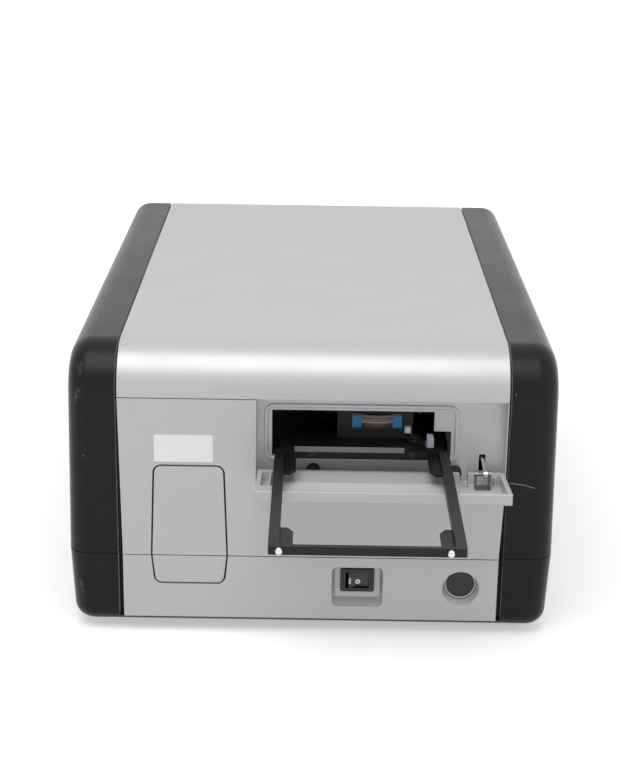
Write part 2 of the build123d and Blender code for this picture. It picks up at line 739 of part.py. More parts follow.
def data_socket():
    """A square data socket with its tongue."""
    w, h = DATA_HALF
    y0 = DEPTH - WALL
    back = y0 - JACK_DEEP
    proud = y0 + REAR_T + SOCKET_PROUD
    body = block(DATA_X - w, DATA_X + w, back - SOCKET_BACK, proud, INLET_Z - h, INLET_Z + h)
    w, h = w - DATA_SHELL, h - DATA_SHELL
    body -= block(DATA_X - w, DATA_X + w, back, DEPTH, INLET_Z - h, INLET_Z + h)
    w, h = TONGUE_HALF
    return body + block(DATA_X - w, DATA_X + w, back, y0 - PIN_SHORT, INLET_Z - h, INLET_Z + h)


# ---- front panels --------------------------------------------------------------------------
def port_blank(gap, near, tall):
    """One half of the blank over the unused port, or with a gap the hole it closes."""
    reach = BLANK_TOP + gap if tall else BLANK_BOTTOM - gap
    wide, narrow = BLANK_SEAM_HALF + gap, BLANK_END_HALF + gap
    face = [(BLANK_X - wide, near), (BLANK_X + wide, near), (BLANK_X + narrow, reach)]
    plate = prism_y(face + [(BLANK_X - narrow, reach)], 0, PANEL_T)
    ends = along_y(plate).group_by(Axis.Z)[-1 if tall else 0]
    return fillet(ends, BLANK_R + gap)


def front_panel():
    """The light upper front: a plate with the port's hole and the door's recess set back in it."""
    top = HOOD_Z - SEAM_GAP
    back = RECESS_DEPTH + RECESS_WALL_T
    wall = RECESS_WALL_T
    face = [(-LOWER_HALF, SEAM_Z), (LOWER_HALF, SEAM_Z), (HOOD_HALF, RECESS_Z - wall), (HOOD_HALF, top)]
    plate = prism_y(face + [(-HOOD_HALF, top)], 0, PANEL_T)
    plate -= block(RECESS_L, RECESS_R, -1, PANEL_T + 1, RECESS_Z, top + 1)
    plate -= port_blank(BLANK_GAP, SEAM_Z - 1, True)
    ceiling = HOOD_Z - SEAM_GAP / 2
    side = RECESS_R + RECESS_SIDE_T
    tray = block(RECESS_L - wall, side, PANEL_T, back, RECESS_Z - wall, ceiling + wall)
    tray -= block(RECESS_L, RECESS_R, 0, RECESS_DEPTH, RECESS_Z, ceiling)
    tray -= block(-COVER_HALF, COVER_HALF, 0, HOOD_T + SEAM_GAP + 0.5, top, TOP_Z)
    tray += recess_rim()
    plate += tray
    plate -= opening(RECESS_DEPTH - RIM_H - 1, back + 1)
    slot = block(SLOT_X - SLOT_W / 2, SLOT_X + SLOT_W / 2, RECESS_DEPTH - 1, back + 1, SLOT_Z0, SLOT_Z1)
    plate -= slot
    return plate - rod_x(hinge_left(), hinge_right(), HINGE_Y, HINGE_Z, HINGE_PIN_R)


def opening(y0, y1):
    """The carrier's opening, lower at its right-hand end."""
    low = [(OPEN_L, OPEN_Z), (OPEN_R, OPEN_Z), (OPEN_R, STEP_Z), (STEP_X, STEP_Z)]
    return prism_y(low + [(STEP_X, OPEN_TOP), (OPEN_L, OPEN_TOP)], y0, y1)


def recess_rim():
    """The raised rim round the opening."""
    def ring(inset):
        x0, x1 = OPEN_L - RIM_SIDE + inset, OPEN_R + RIM_SIDE - inset
        z0, z1 = OPEN_Z - RIM_DOWN + inset, OPEN_TOP + RIM_UP - inset
        form = block(x0, x1, RECESS_DEPTH - RIM_H, RECESS_DEPTH, z0, z1)
        return fillet(along_y(form), RIM_R - inset)
    rim = ring(0) - ring(RIM_W)
    return fillet(rim.faces().sort_by(Axis.Y)[0].edges(), RIM_EDGE)


def hinge_left():
    """Outer end of the left hinge pin."""
    return RECESS_L - RECESS_WALL_T


def hinge_right():
    """Outer end of the right hinge pin."""
    return HOOD_HALF


def port_gasket():
    """The dark gasket behind the port blank's joint, above the seam and below it."""
    made = []
    for tall in (True, False):
        near = SEAM_Z if tall else SEAM_Z - SEAM_GAP
        band = port_blank(BLANK_GAP + GASKET_OUT, near, tall)
        band -= port_blank(-GASKET_IN, near + (-1 if tall else 1), tall)
        made.append(Pos(0, PANEL_T, 0) * (band & block(-COVER_HALF, COVER_HALF, 0, GASKET_T, 0, TOP_Z)))
    return Compound(children=made)


def blank_upper():
    """The part of the port blank above the seam."""
    return port_blank(0, SEAM_Z, True)


def blank_lower():
    """The part of the port blank below the seam."""
    return port_blank(0, SEAM_Z - SEAM_GAP, False)


def pocket():
    """The flared cut for the switch: a rounded mouth that narrows, most from below, to its floor."""
    def face(side, above, below, corner, y):
        form = block(SWITCH_X - side, SWITCH_X + side, y, y + 1, SWITCH_Z - below, SWITCH_Z + above)
        return fillet(along_y(form), corner).faces().sort_by(Axis.Y)[0]
    side = SWITCH_W / 2 + POCKET_SIDE
    above, below = SWITCH_H / 2 + POCKET_ABOVE, SWITCH_H / 2 + POCKET_BELOW
    mouth = face(side + FLARE_SIDE, above + FLARE_ABOVE, below + FLARE_BELOW, POCKET_R + FLARE_SIDE, 0)
    cut = loft([mouth, face(side, above, below, POCKET_R, POCKET_DEPTH + GROOVE)])
    half, top, foot = SWITCH_W / 2 + PAD_SIDE, SWITCH_H / 2 + PAD_ABOVE, SWITCH_H / 2 + PAD_BELOW
    pad = block(SWITCH_X - half, SWITCH_X + half, POCKET_DEPTH, POCKET_DEPTH + GROOVE + 1,
                SWITCH_Z - foot, SWITCH_Z + top)
    return cut - fillet(along_y(pad), POCKET_R)


def button_pocket():
    """The flared round cut for the button, its mouth dropped so that the upper wall is straight."""
    floor = BUTTON_RING_R + BUTTON_RING_GAP
    mouth = Pos(BUTTON_X, 0, BUTTON_Z - BUTTON_FLARE) * Rot(90, 0, 0) * Circle(floor + BUTTON_FLARE)
    flare = loft([mouth, Pos(BUTTON_X, BUTTON_STEP, BUTTON_Z) * Rot(90, 0, 0) * Circle(floor)])
    return flare + rod_y(BUTTON_X, BUTTON_STEP, BUTTON_DEPTH, BUTTON_Z, floor)


def lower_front_panel():
    """The light lower front, with a flared pocket for the switch and one for the button."""
    top = SEAM_Z - SEAM_GAP
    plate = block(-LOWER_HALF, LOWER_HALF, 0, PANEL_T, PANEL_Z, top)
    plate -= port_blank(BLANK_GAP, top + 1, False)
    backing = WALL_BEHIND
    side = SWITCH_W / 2 + POCKET_SIDE + backing
    low = SWITCH_Z - SWITCH_H / 2 - POCKET_BELOW - backing
    high = SWITCH_Z + SWITCH_H / 2 + POCKET_ABOVE + backing
    back = POCKET_DEPTH + GROOVE + backing
    plate += block(SWITCH_X - side, SWITCH_X + side, PANEL_T, back, low, high)
    plate -= pocket()
    half_w, half_h = SWITCH_W / 2 - SWITCH_FLANGE, SWITCH_H / 2 - SWITCH_FLANGE
    plate -= block(SWITCH_X - half_w, SWITCH_X + half_w, 0, back + 1, SWITCH_Z - half_h, SWITCH_Z + half_h)
    back = BUTTON_DEPTH + backing
    wall = BUTTON_RING_R + BUTTON_RING_GAP + BUTTON_FLARE + backing
    plate += rod_y(BUTTON_X, PANEL_T, back, BUTTON_Z, wall)
    plate -= button_pocket()
    return plate - rod_y(BUTTON_X, 0, back + 1, BUTTON_Z, BUTTON_RING_R - BUTTON_GUIDE)


def label_plate():
    """A blank white label."""
    return block(LABEL_X - LABEL_W / 2, LABEL_X + LABEL_W / 2, -LABEL_T, 0,
                 LABEL_Z - LABEL_H / 2, LABEL_Z + LABEL_H / 2)


# ---- switch and button ---------------------------------------------------------------------
def switch_bezel():
    """The power switch's housing: a flange on the pocket's floor and a hollow body behind it."""
    y0 = POCKET_DEPTH - BEZEL_T
    w, h = SWITCH_W / 2, SWITCH_H / 2
    flange = block(SWITCH_X - w, SWITCH_X + w, y0, POCKET_DEPTH, SWITCH_Z - h, SWITCH_Z + h)
    flange = fillet(along_y(flange), BEZEL_R)
    w, h = w - SWITCH_FLANGE, h - SWITCH_FLANGE
    body = block(SWITCH_X - w, SWITCH_X + w, POCKET_DEPTH, SWITCH_BACK, SWITCH_Z - h, SWITCH_Z + h)
    w, h = ROCKER_HALF_W + ROCKER_SIDE, ROCKER_HALF_H + ROCKER_GAP
    well = block(SWITCH_X - w, SWITCH_X + w, y0 - 1, SWITCH_BACK - SWITCH_FLOOR, SWITCH_Z - h, SWITCH_Z + h)
    reach = h + ROCKER_PIN_IN
    pin = rod_z(SWITCH_X, ROCKER_Y, SWITCH_Z - reach, SWITCH_Z + reach, ROCKER_PIN_R)
    return flange + body - well + pin


def rocker():
    """The rocker, pressed on its right-hand end: two flat faces that meet in a shallow valley."""
    w = ROCKER_HALF_W
    face = ROCKER_Y - ROCKER_RISE
    skirt = ROCKER_Y + ROCKER_SKIRT
    half = [(w, face), (w, skirt), (ROCKER_NOSE_W, skirt + ROCKER_NOSE)]
    outline = [(0, face + ROCKER_DIP)] + half + [(-x, y) for x, y in reversed(half)]
    points = [(SWITCH_X + x, y) for x, y in outline]
    form = prism_z(points, SWITCH_Z - ROCKER_HALF_H, SWITCH_Z + ROCKER_HALF_H)
    form -= rod_z(SWITCH_X, ROCKER_Y, SWITCH_Z - SWITCH_H, SWITCH_Z + SWITCH_H, ROCKER_PIN_R + RUNNING)
    return turn_z(form, SWITCH_X, ROCKER_Y, ROCKER_TILT)


def turn_z(shape, x, y, degrees):
    """Turn a shape about an upright axis."""
    return Pos(x, y, 0) * Rot(0, 0, degrees) * Pos(-x, -y, 0) * shape


def turn_x(shape, y, z, degrees):
    """Turn a shape about an axis along X."""
    return Pos(0, y, z) * Rot(degrees, 0, 0) * Pos(0, -y, -z) * shape


def button_bezel():
    """The push button's round housing: a ring on the pocket's floor and a guide behind it."""
    y0 = BUTTON_DEPTH - BEZEL_T
    ring = rod_y(BUTTON_X, y0, BUTTON_DEPTH, BUTTON_Z, BUTTON_RING_R)
    ring = fillet(ring.faces().sort_by(Axis.Y)[0].edges(), BUTTON_RING_EDGE)
    guide = rod_y(BUTTON_X, BUTTON_DEPTH, BUTTON_BACK, BUTTON_Z, BUTTON_RING_R - BUTTON_GUIDE)
    well = rod_y(BUTTON_X, y0 - 1, BUTTON_BACK - BUTTON_FLOOR, BUTTON_Z, BUTTON_R + BUTTON_GAP)
    return ring + guide - well


def button_cap():
    """The button's cap, with a dished face for the fingertip."""
    y0 = BUTTON_DEPTH - BEZEL_T
    y1 = y0 + BUTTON_CAP_L
    cap = rod_y(BUTTON_X, y0, y1, BUTTON_Z, BUTTON_R)
    cap = fillet(cap.faces().sort_by(Axis.Y)[0].edges(), BUTTON_EDGE)
    cap -= Pos(BUTTON_X, y0 - DISH_R + BUTTON_DISH, BUTTON_Z) * Sphere(DISH_R)
    return cap - rod_y(BUTTON_X, y0 + BUTTON_HOLLOW, y1, BUTTON_Z, BUTTON_R - BUTTON_SKIN)


def button_spring():
    """The coil spring behind the button's cap."""
    y0 = BUTTON_DEPTH - BEZEL_T + BUTTON_HOLLOW
    y1 = BUTTON_BACK - BUTTON_FLOOR
    length = y1 - y0 - 2 * SPRING_WIRE
    path = Helix(pitch=length / SPRING_TURNS, height=length, radius=SPRING_R)
    coil = sweep(Plane(path @ 0, z_dir=path % 0) * Circle(SPRING_WIRE), path)
    return Pos(BUTTON_X, y1 - SPRING_WIRE, BUTTON_Z) * Rot(90, 0, 0) * coil


# ---- door ----------------------------------------------------------------------------------
def door_closed():
    """The door as it stands closed: a tray moulding, rounded about its hinge along the foot."""
    x0, x1 = RECESS_L + 2 * SEAM_GAP, RECESS_R - DOOR_SIDE_GAP
    top = HINGE_Z - DOOR_T / 2 + DOOR_H
    face = [(0, HINGE_Z), (0, top - DOOR_TAPER_L), (DOOR_TAPER, top), (DOOR_T, top), (DOOR_T, HINGE_Z)]
    form = prism_x(face, x0, x1)
    form = fillet(form.edges().filter_by(Axis.X).group_by(Axis.Z)[-1], DOOR_TIP_R)
    form += rod_x(x0, x1, HINGE_Y, HINGE_Z, DOOR_T / 2)
    z0, z1 = HINGE_Z + DOOR_T / 2 + DOOR_FOOT, top - DOOR_EDGE
    tray_r = x1 - DOOR_EDGE
    tray_l = tray_r - TRAY_W
    form -= block(tray_l, tray_r, DOOR_SKIN, DOOR_T + 1, z0, z1)
    for x in (x0 + DOOR_EDGE, x0 + DOOR_EDGE + CELL_PITCH):
        form -= block(x, x + CELL_W, DOOR_SKIN, DOOR_T + 1, z0, z0 + CELL_L)
    slope, foot = DOOR_T - RAMP_DEEP, top - RAMP_FOOT
    wedge = [(DOOR_T + 1, foot), (DOOR_T, foot), (slope, foot + RAMP_L), (slope, z1), (DOOR_T + 1, z1)]
    form -= prism_x(wedge, x0 + RAMP_IN, tray_l - DOOR_EDGE)
    rib_top = LINK_Z - BRACKET_LONG - SEAM_GAP
    for x in (tray_r - RIB_PITCH, tray_r - 2 * RIB_PITCH):
        form += block(x - RIB_T / 2, x + RIB_T / 2, DOOR_SKIN, DOOR_T - 1, z0, rib_top)
    form -= block(*NOTCH_X, -1, DOOR_T + 1, HINGE_Z - DOOR_T, HINGE_Z + NOTCH_H)
    for x in (hinge_left(), hinge_right()):
        form -= rod_x(x - HINGE_PIN_L - 1, x + HINGE_PIN_L + 1, HINGE_Y, HINGE_Z, HINGE_PIN_R + RUNNING)
    return form


def opened(shape):
    """Swing a shape on the door from closed to open."""
    return turn_x(shape, HINGE_Y, HINGE_Z, DOOR_OPEN)


def opened_point(y, z):
    """Where a point (y, z) on the closed door stands when it is open."""
    at = Vector(y - HINGE_Y, z - HINGE_Z).rotate(Axis.Z, DOOR_OPEN)
    return at.X + HINGE_Y, at.Y + HINGE_Z


def carrier_door():
    """The door, hanging open."""
    return opened(door_closed())


def hinge_pins():
    """The two pins that the door turns on."""
    x0, x1 = hinge_left(), hinge_right()
    left = rod_x(x0, x0 + HINGE_PIN_L, HINGE_Y, HINGE_Z, HINGE_PIN_R)
    right = rod_x(x1 - HINGE_PIN_L, x1, HINGE_Y, HINGE_Z, HINGE_PIN_R)
    return Compound(children=[left, right])


def door_bracket():
    """The bright U bracket in the door's tray that carries the link's pin."""
    x0, x1 = BRACKET_X - BRACKET_HALF, BRACKET_X + BRACKET_HALF
    base = block(x0, x1, DOOR_SKIN, DOOR_SKIN + BRACKET_T, LINK_Z - BRACKET_LONG, LINK_Z + BRACKET_LONG)
    for x in (x0, x1 - BRACKET_T):
        ear = block(x, x + BRACKET_T, DOOR_SKIN, LINK_Y, LINK_Z - BRACKET_EAR, LINK_Z + BRACKET_EAR)
        ear += rod_x(x, x + BRACKET_T, LINK_Y, LINK_Z, BRACKET_EAR)
        base += ear
    base -= rod_x(x0 - 1, x1 + 1, LINK_Y, LINK_Z, LINK_PIN_R)
    return opened(base)


def bracket_pin():
    """The cross pin of the bracket."""
    reach = BRACKET_HALF + PIN_PROUD
    return opened(rod_x(BRACKET_X - reach, BRACKET_X + reach, LINK_Y, LINK_Z, LINK_PIN_R))


def door_link():
    """The rod that pulls the door shut, from its eye on the bracket's pin in through the slot."""
    y, z = opened_point(LINK_Y, LINK_Z)
    eye = rod_x(SLOT_X - LINK_EYE_T, SLOT_X + LINK_EYE_T, y, z, LINK_EYE_R)
    shank = rod_y(SLOT_X, y + LINK_PIN_R, y + LINK_L, z, LINK_R)
    hook = rod_z(SLOT_X, y + LINK_L - 2 * LINK_R, z - LINK_HOOK, z, LINK_HOOK_R)
    form = turn_x(eye + shank + hook, y, z, LINK_RISE)
    return form - rod_x(SLOT_X - SLOT_W, SLOT_X + SLOT_W, y, z, LINK_PIN_R + RUNNING)


def bumpers():
    """Two rubber bumpers that the closed door meets."""
    made = []
    for x in BUMPER_X:
        dome = rod_y(x, DOOR_T + BUMPER_GAP, RECESS_DEPTH, BUMPER_Z, BUMPER_R)
        made.append(fillet(dome.faces().sort_by(Axis.Y)[0].edges(), BUMPER_EDGE))
    return Compound(children=made)


# ---- plate carrier and carriage ------------------------------------------------------------
def plate_carrier():
    """The black plate frame: rails round an open nest, with a cut-off ledge at each corner."""
    x0, x1 = CARRIER_X - CARRIER_HALF, CARRIER_X + CARRIER_HALF
    y0, y1 = -CARRIER_OUT, CARRIER_BACK
    frame = block(x0, x1, y0, y1, CARRIER_LOW, CARRIER_TOP)
    frame = fillet(upright(frame), CARRIER_CORNER)
    nest = block(CARRIER_X - NEST_HALF, CARRIER_X + NEST_HALF, y0 + CARRIER_END_T,
                 y1 - CARRIER_END_T, CARRIER_LOW - 1, CARRIER_TOP + 1)
    frame -= nest
    for side in (-1, 1):
        for end, inward in ((y0 + CARRIER_END_T, 1), (y1 - CARRIER_END_T, -1)):
            frame += corner_ledge(side, end, inward)
    for x in STUD_X:
        frame -= rod_y(x, y0, y0 + CARRIER_END_T, STUD_Z, STUD_SHANK_R)
    for x in JOIN_X:
        frame -= rod_y(x, y1 - CARRIER_END_T, y1, JOIN_Z, JOIN_R)
        frame -= rod_y(x, y1 - CARRIER_END_T, y1 - CARRIER_END_T + JOIN_SINK, JOIN_Z, JOIN_HEAD_R)
    return frame


def corner_ledge(side, end, inward):
    """One ledge under the plate's corner, its free corner cut off."""
    wall = CARRIER_X + side * NEST_HALF
    inner = wall - side * LEDGE_IN
    far = end + inward * LEDGE_L
    points = [(wall, end), (inner, end), (inner, far - inward * LEDGE_CUT),
              (inner + side * LEDGE_SLANT, far), (wall, far)]
    return prism_z(points, CARRIER_LOW, CARRIER_LOW + LEDGE_T)


def carrier_studs():
    """The two bright ball studs on the carrier's front edge that push the door open."""
    y0 = -CARRIER_OUT
    made = []
    for x in STUD_X:
        ball = Pos(x, y0, STUD_Z) * Sphere(STUD_R)
        ball &= block(x - STUD_R, x + STUD_R, y0 - STUD_R, y0, STUD_Z - STUD_R, STUD_Z + STUD_R)
        made.append(ball + rod_y(x, y0, y0 + CARRIER_END_T, STUD_Z, STUD_SHANK_R))
    return Compound(children=made)


def carriage():
    """The carriage: a nose that comes out through the opening, a saddle, and its bearing blocks."""
    y0 = CARRIER_BACK
    y1 = y0 + CARRIAGE_L
    left, right = CARRIER_X - CARRIAGE_HALF, CARRIER_X + CARRIAGE_HALF
    body = block(left, right, y0, y1, CARRIAGE_Z, CARRIER_TOP)
    body += block(BELT_X - BELT_W / 2 - EAR_EDGE, left, BEARING_Y, y1, CARRIAGE_Z, CARRIER_TOP)
    body -= block(CARRIER_X - SADDLE_HALF, CARRIER_X + SADDLE_HALF, BEARING_Y + SADDLE_EDGE, y1 - SADDLE_EDGE,
                  CARRIAGE_Z - 1, CARRIER_TOP + 1)
    for x in ROD_X:
        body += block(x - BEARING_HALF, x + BEARING_HALF, BEARING_Y, y1, ROD_Z - BEARING_HALF, CARRIAGE_Z)
        body -= rod_y(x, BEARING_Y - 1, y1 + 1, ROD_Z, ROD_R + BUSH_T)
    grip_0 = y1 - GRIP_IN - 2 * GRIP_HALF
    grip_1 = y1 - GRIP_IN
    run_z = PULLEY_Z + PULLEY_R + BELT_GAP
    half = BELT_W / 2 + BELT_GAP
    outer = half + GRIP_WALL
    grip = block(BELT_X - outer, BELT_X + outer, grip_0, grip_1, run_z - GRIP_JAW, CARRIAGE_Z)
    grip -= block(BELT_X - half, BELT_X + half, grip_0 - 1, grip_1 + 1, run_z - BELT_GAP,
                  run_z + BELT_T + BELT_GAP)
    body += grip
    for x in JOIN_X:
        body -= rod_y(x, y0, y0 + JOIN_L, JOIN_Z, JOIN_R)
    return body - rod_z(*clamp_pivot(), CARRIER_TOP - CLAMP_SEAT, CARRIER_TOP, CLAMP_PIN_R)


def join_screws():
    """The screws that hold the carrier to the carriage."""
    y0 = CARRIER_BACK
    made = []
    for x in JOIN_X:
        seat = y0 - CARRIER_END_T + JOIN_SINK
        head = rod_y(x, y0 - CARRIER_END_T + SINK_GAP, seat, JOIN_Z, JOIN_HEAD_R)
        made.append(head + rod_y(x, seat, y0 + JOIN_L, JOIN_Z, JOIN_R))
    return Compound(children=made)


def bushings():
    """Plain bushings in the bearing blocks, one at each end of each block."""
    made = []
    for x in ROD_X:
        for y in (BEARING_Y, CARRIER_BACK + CARRIAGE_L - BUSH_L):
            ring = rod_y(x, y, y + BUSH_L, ROD_Z, ROD_R + BUSH_T)
            made.append(ring - rod_y(x, y - 1, y + BUSH_L + 1, ROD_Z, ROD_R + RUNNING))
    return Compound(children=made)


def clamp_pivot():
    """Plan position of the plate clamp's pivot."""
    return CARRIER_X + CLAMP_SIDE, CARRIER_BACK + CLAMP_BACK


def clamp_lever():
    """The sprung lever that presses the plate into its corner: an arm, a finger and its nose."""
    x, y = clamp_pivot()
    tip_x, tip_y = CLAMP_TIP
    side = tip_x + CLAMP_W
    z0 = CARRIER_TOP + CLAMP_GAP
    z1 = z0 + CLAMP_FINGER
    ends = [(x - 3, y + 1), (x + 1, y - CLAMP_W), (side, tip_y), (side, tip_y + CLAMP_W)]
    arm = prism_z(ends, z0, z0 + CLAMP_T)
    arm += rod_z(x, y, z0, z0 + CLAMP_T, CLAMP_EYE_R)
    arm += block(tip_x, side, tip_y, tip_y + CLAMP_W, z0, z1)
    arm += block(tip_x, side, CLAMP_NOSE_Y, tip_y, z1 - CLAMP_NOSE_H, z1)
    return arm - rod_z(x, y, z0 - 1, z0 + CLAMP_T + 1, CLAMP_PIN_R + RUNNING)


def clamp_pin():
    """The clamp's pivot: a shouldered pin with a round head."""
    x, y = clamp_pivot()
    top = CARRIER_TOP + 2 * CLAMP_GAP + CLAMP_T
    shank = rod_z(x, y, CARRIER_TOP - CLAMP_SEAT, top, CLAMP_PIN_R)
    return shank + rod_z(x, y, top, top + CLAMP_HEAD_T, CLAMP_HEAD_R)


def carriage_board():
    """The upright circuit board on the carriage, facing the opening."""
    return block(BOARD_X0, BOARD_X1, BOARD_Y, BOARD_Y + BOARD_T, CARRIER_TOP, BOARD_TOP)


def flex_ends():
    """The blue stiffened ends of the flat cable, standing on the board's face."""
    made = []
    for x in (FLEX_X0, FLEX_X1 - FLEX_END):
        made.append(block(x, x + FLEX_END, BOARD_Y - FLEX_END_T, BOARD_Y, FLEX_Z0, FLEX_Z1))
    return Compound(children=made)


def flat_cable():
    """The flat cable between its two ends, bowed a little out from the board."""
    x0, x1 = FLEX_X0 + FLEX_END, FLEX_X1 - FLEX_END
    mid = (x0 + x1) / 2
    near, far = BOARD_Y - FLEX_MID - FLEX_T / 2, BOARD_Y - FLEX_MID + FLEX_T / 2
    outer = ThreePointArc((x0, near), (mid, near - FLEX_BOW), (x1, near))
    inner = ThreePointArc((x1, far), (mid, far - FLEX_BOW), (x0, far))
    ends = [Line(outer @ 1, inner @ 0), Line(inner @ 1, outer @ 0)]
    face = make_face([outer, ends[0], inner, ends[1]])
    return Pos(0, 0, FLEX_Z0 + FLEX_MARGIN) * extrude(face, amount=FLEX_Z1 - FLEX_Z0 - 2 * FLEX_MARGIN)


def plate_sensor():
    """The small pale sensor that sees whether a plate is loaded."""
    x, z = SENSOR_X, SENSOR_Z
    face = BOARD_Y - SENSOR_T
    body = block(x - SENSOR_HALF, x + SENSOR_HALF, face, BOARD_Y, z - SENSOR_HALF, z + SENSOR_HALF)
    return body + rod_y(x, face - SENSOR_EYE, face, z, SENSOR_EYE)


# ---- guides and drive ----------------------------------------------------------------------
def chassis_plate():
    """The aluminium plate that carries the guides and the optics, with a tab back to the rear frame."""
    top = CHASSIS_Z + CHASSIS_T
    plate = block(-CHASSIS_HALF, CHASSIS_HALF, CHASSIS_Y0, CHASSIS_Y1, CHASSIS_Z, top)
    plate = fillet(upright(plate), CHASSIS_R)
    plate -= block(*WINDOW_X, *WINDOW_Y, CHASSIS_Z - 1, top + 1)
    return plate + block(-REAR_HALF, REAR_HALF, CHASSIS_Y1 - CHASSIS_TAB, DEPTH - WALL, CHASSIS_Z, top)


def post_places():
    """Centres of the posts under the chassis."""
    inset = 2 * POST_R
    xs = (-CHASSIS_HALF + inset, CHASSIS_HALF - inset)
    y0, y1 = CHASSIS_Y0 + inset, CHASSIS_Y1 - inset
    return [(x, y) for x in xs for y in (y0, (y0 + y1) / 2, y1)]


def chassis_posts():
    """Posts from the tub's floor to the chassis."""
    return Compound(children=[rod_z(x, y, TUB_Z + WALL, CHASSIS_Z, POST_R) for x, y in post_places()])


def guide_rods():
    """The two ground rods that the carriage runs on."""
    return Compound(children=[rod_y(x, ROD_Y0, ROD_END, ROD_Z, ROD_R) for x in ROD_X])


def rod_stands():
    """Upright stands that hold the guide rods' ends over the chassis."""
    made = []
    for x in ROD_X:
        for y in (ROD_Y0, ROD_END - STAND_T):
            stand = block(x - STAND_HALF, x + STAND_HALF, y, y + STAND_T, CHASSIS_Z + CHASSIS_T, ROD_Z)
            made.append(stand - rod_y(x, y - 1, y + STAND_T + 1, ROD_Z, ROD_R))
    return Compound(children=made)


def belt():
    """The toothed belt's loop round its two pulleys, its teeth left plain."""
    r = PULLEY_R + BELT_GAP

    def loop(radius):
        form = block(BELT_X - BELT_W / 2, BELT_X + BELT_W / 2, PULLEY_Y0, PULLEY_Y1,
                     PULLEY_Z - radius, PULLEY_Z + radius)
        ends = [rod_x(BELT_X - BELT_W / 2, BELT_X + BELT_W / 2, y, PULLEY_Z, radius)
                for y in (PULLEY_Y0, PULLEY_Y1)]
        return form + ends
    return loop(r + BELT_T) - loop(r)


def motor_face():
    """The plane, along X, of the carrier motor's face and of the idler bracket's inner side."""
    return BELT_X - BELT_W / 2 - HUB_SIDE - FLANGE_T - FACE_GAP


def pulley(y, x0):
    """A flanged pulley on a shaft that starts at x0 and ends just outside the flange."""
    edge = BELT_W / 2 + HUB_SIDE
    hub = rod_x(BELT_X - edge, BELT_X + edge, y, PULLEY_Z, PULLEY_R)
    for x in (BELT_X - edge - FLANGE_T, BELT_X + edge):
        hub += rod_x(x, x + FLANGE_T, y, PULLEY_Z, PULLEY_R + FLANGE_UP)
    return hub + rod_x(x0, BELT_X + edge + FLANGE_T + SHAFT_END, y, PULLEY_Z, SHAFT_R)


def drive_pulley():
    """The pulley on the motor's shaft."""
    return pulley(PULLEY_Y1, motor_face() - MOTOR_SHAFT + 1)


def idler_pulley():
    """The pulley at the front of the belt."""
    return pulley(PULLEY_Y0, motor_face() - IDLER_T)


def carrier_motor():
    """The stepping motor that drives the belt: a square body with eased corners."""
    half = MOTOR / 2
    x1 = motor_face()
    body = block(x1 - MOTOR_L, x1, PULLEY_Y1 - half, PULLEY_Y1 + half, PULLEY_Z - half, PULLEY_Z + half)
    body = chamfer(body.edges().filter_by(Axis.X), MOTOR_EDGE)
    return body - rod_x(x1 - MOTOR_SHAFT, x1 + 1, PULLEY_Y1, PULLEY_Z, SHAFT_R + RUNNING)


def motor_bracket():
    """The block under the carrier motor."""
    half = MOTOR / 2
    x1 = motor_face()
    return block(x1 - MOTOR_L, x1, PULLEY_Y1 - half, PULLEY_Y1 + half, CHASSIS_Z + CHASSIS_T, PULLEY_Z - half)


def idler_bracket():
    """The bracket that carries the idler pulley's shaft."""
    x1 = motor_face()
    arm = block(x1 - IDLER_T, x1, PULLEY_Y0 - IDLER_T, PULLEY_Y0 + IDLER_T, CHASSIS_Z + CHASSIS_T,
                PULLEY_Z + IDLER_T)
    return arm - rod_x(x1 - IDLER_T - 1, x1 + 1, PULLEY_Y0, PULLEY_Z, SHAFT_R + RUNNING)


# ---- optics --------------------------------------------------------------------------------
def optics_bridge():
    """The bridge over the plate's path: two end walls on the chassis and a top plate."""
    y0, y1 = BEAM_Y - BRIDGE_HALF, BEAM_Y + BRIDGE_HALF
    base = CHASSIS_Z + CHASSIS_T
    form = block(BRIDGE_L, BRIDGE_R, y0, y1, base, BRIDGE_TOP)
    form -= block(BRIDGE_L + BRIDGE_T, BRIDGE_R - BRIDGE_T, y0 - 1, y1 + 1, base - 1, BRIDGE_TOP - BRIDGE_T)
    for side in (-1, 1):
        y = BEAM_Y + side * SCAN_ROD_HALF
        form -= rod_x(BRIDGE_L - 1, BRIDGE_R + 1, y, SCAN_ROD_Z, SCAN_ROD_R)
    form -= rod_x(BRIDGE_L - 1, BRIDGE_R + 1, BEAM_Y, SCREW_Z, SCREW_R + RUNNING)
    return form - rod_x(BRIDGE_L - 1, BRIDGE_L + BRIDGE_T + 1, BEAM_Y, SCAN_ROD_Z - BEAM_DOWN, PORT_R)


def scan_rods():
    """The two rods that the optics head slides on."""
    made = []
    for side in (-1, 1):
        y = BEAM_Y + side * SCAN_ROD_HALF
        made.append(rod_x(BRIDGE_L, BRIDGE_R, y, SCAN_ROD_Z, SCAN_ROD_R))
    return Compound(children=made)


def scan_screw():
    """The lead screw that moves the optics head, with its thread left plain."""
    return rod_x(BRIDGE_L, BRIDGE_R + SCREW_OUT, BEAM_Y, SCREW_Z, SCREW_R)


def scan_motor():
    """The small motor on the bridge's right-hand end."""
    half = SCAN_MOTOR / 2
    x1 = BRIDGE_R + SCAN_MOTOR_L
    body = block(BRIDGE_R, x1, BEAM_Y - half, BEAM_Y + half, SCREW_Z - half, SCREW_Z + half)
    body = chamfer(body.edges().filter_by(Axis.X), SCAN_MOTOR_EDGE)
    return body - rod_x(BRIDGE_R - 1, BRIDGE_R + SCAN_BORE, BEAM_Y, SCREW_Z, SCREW_R + RUNNING)


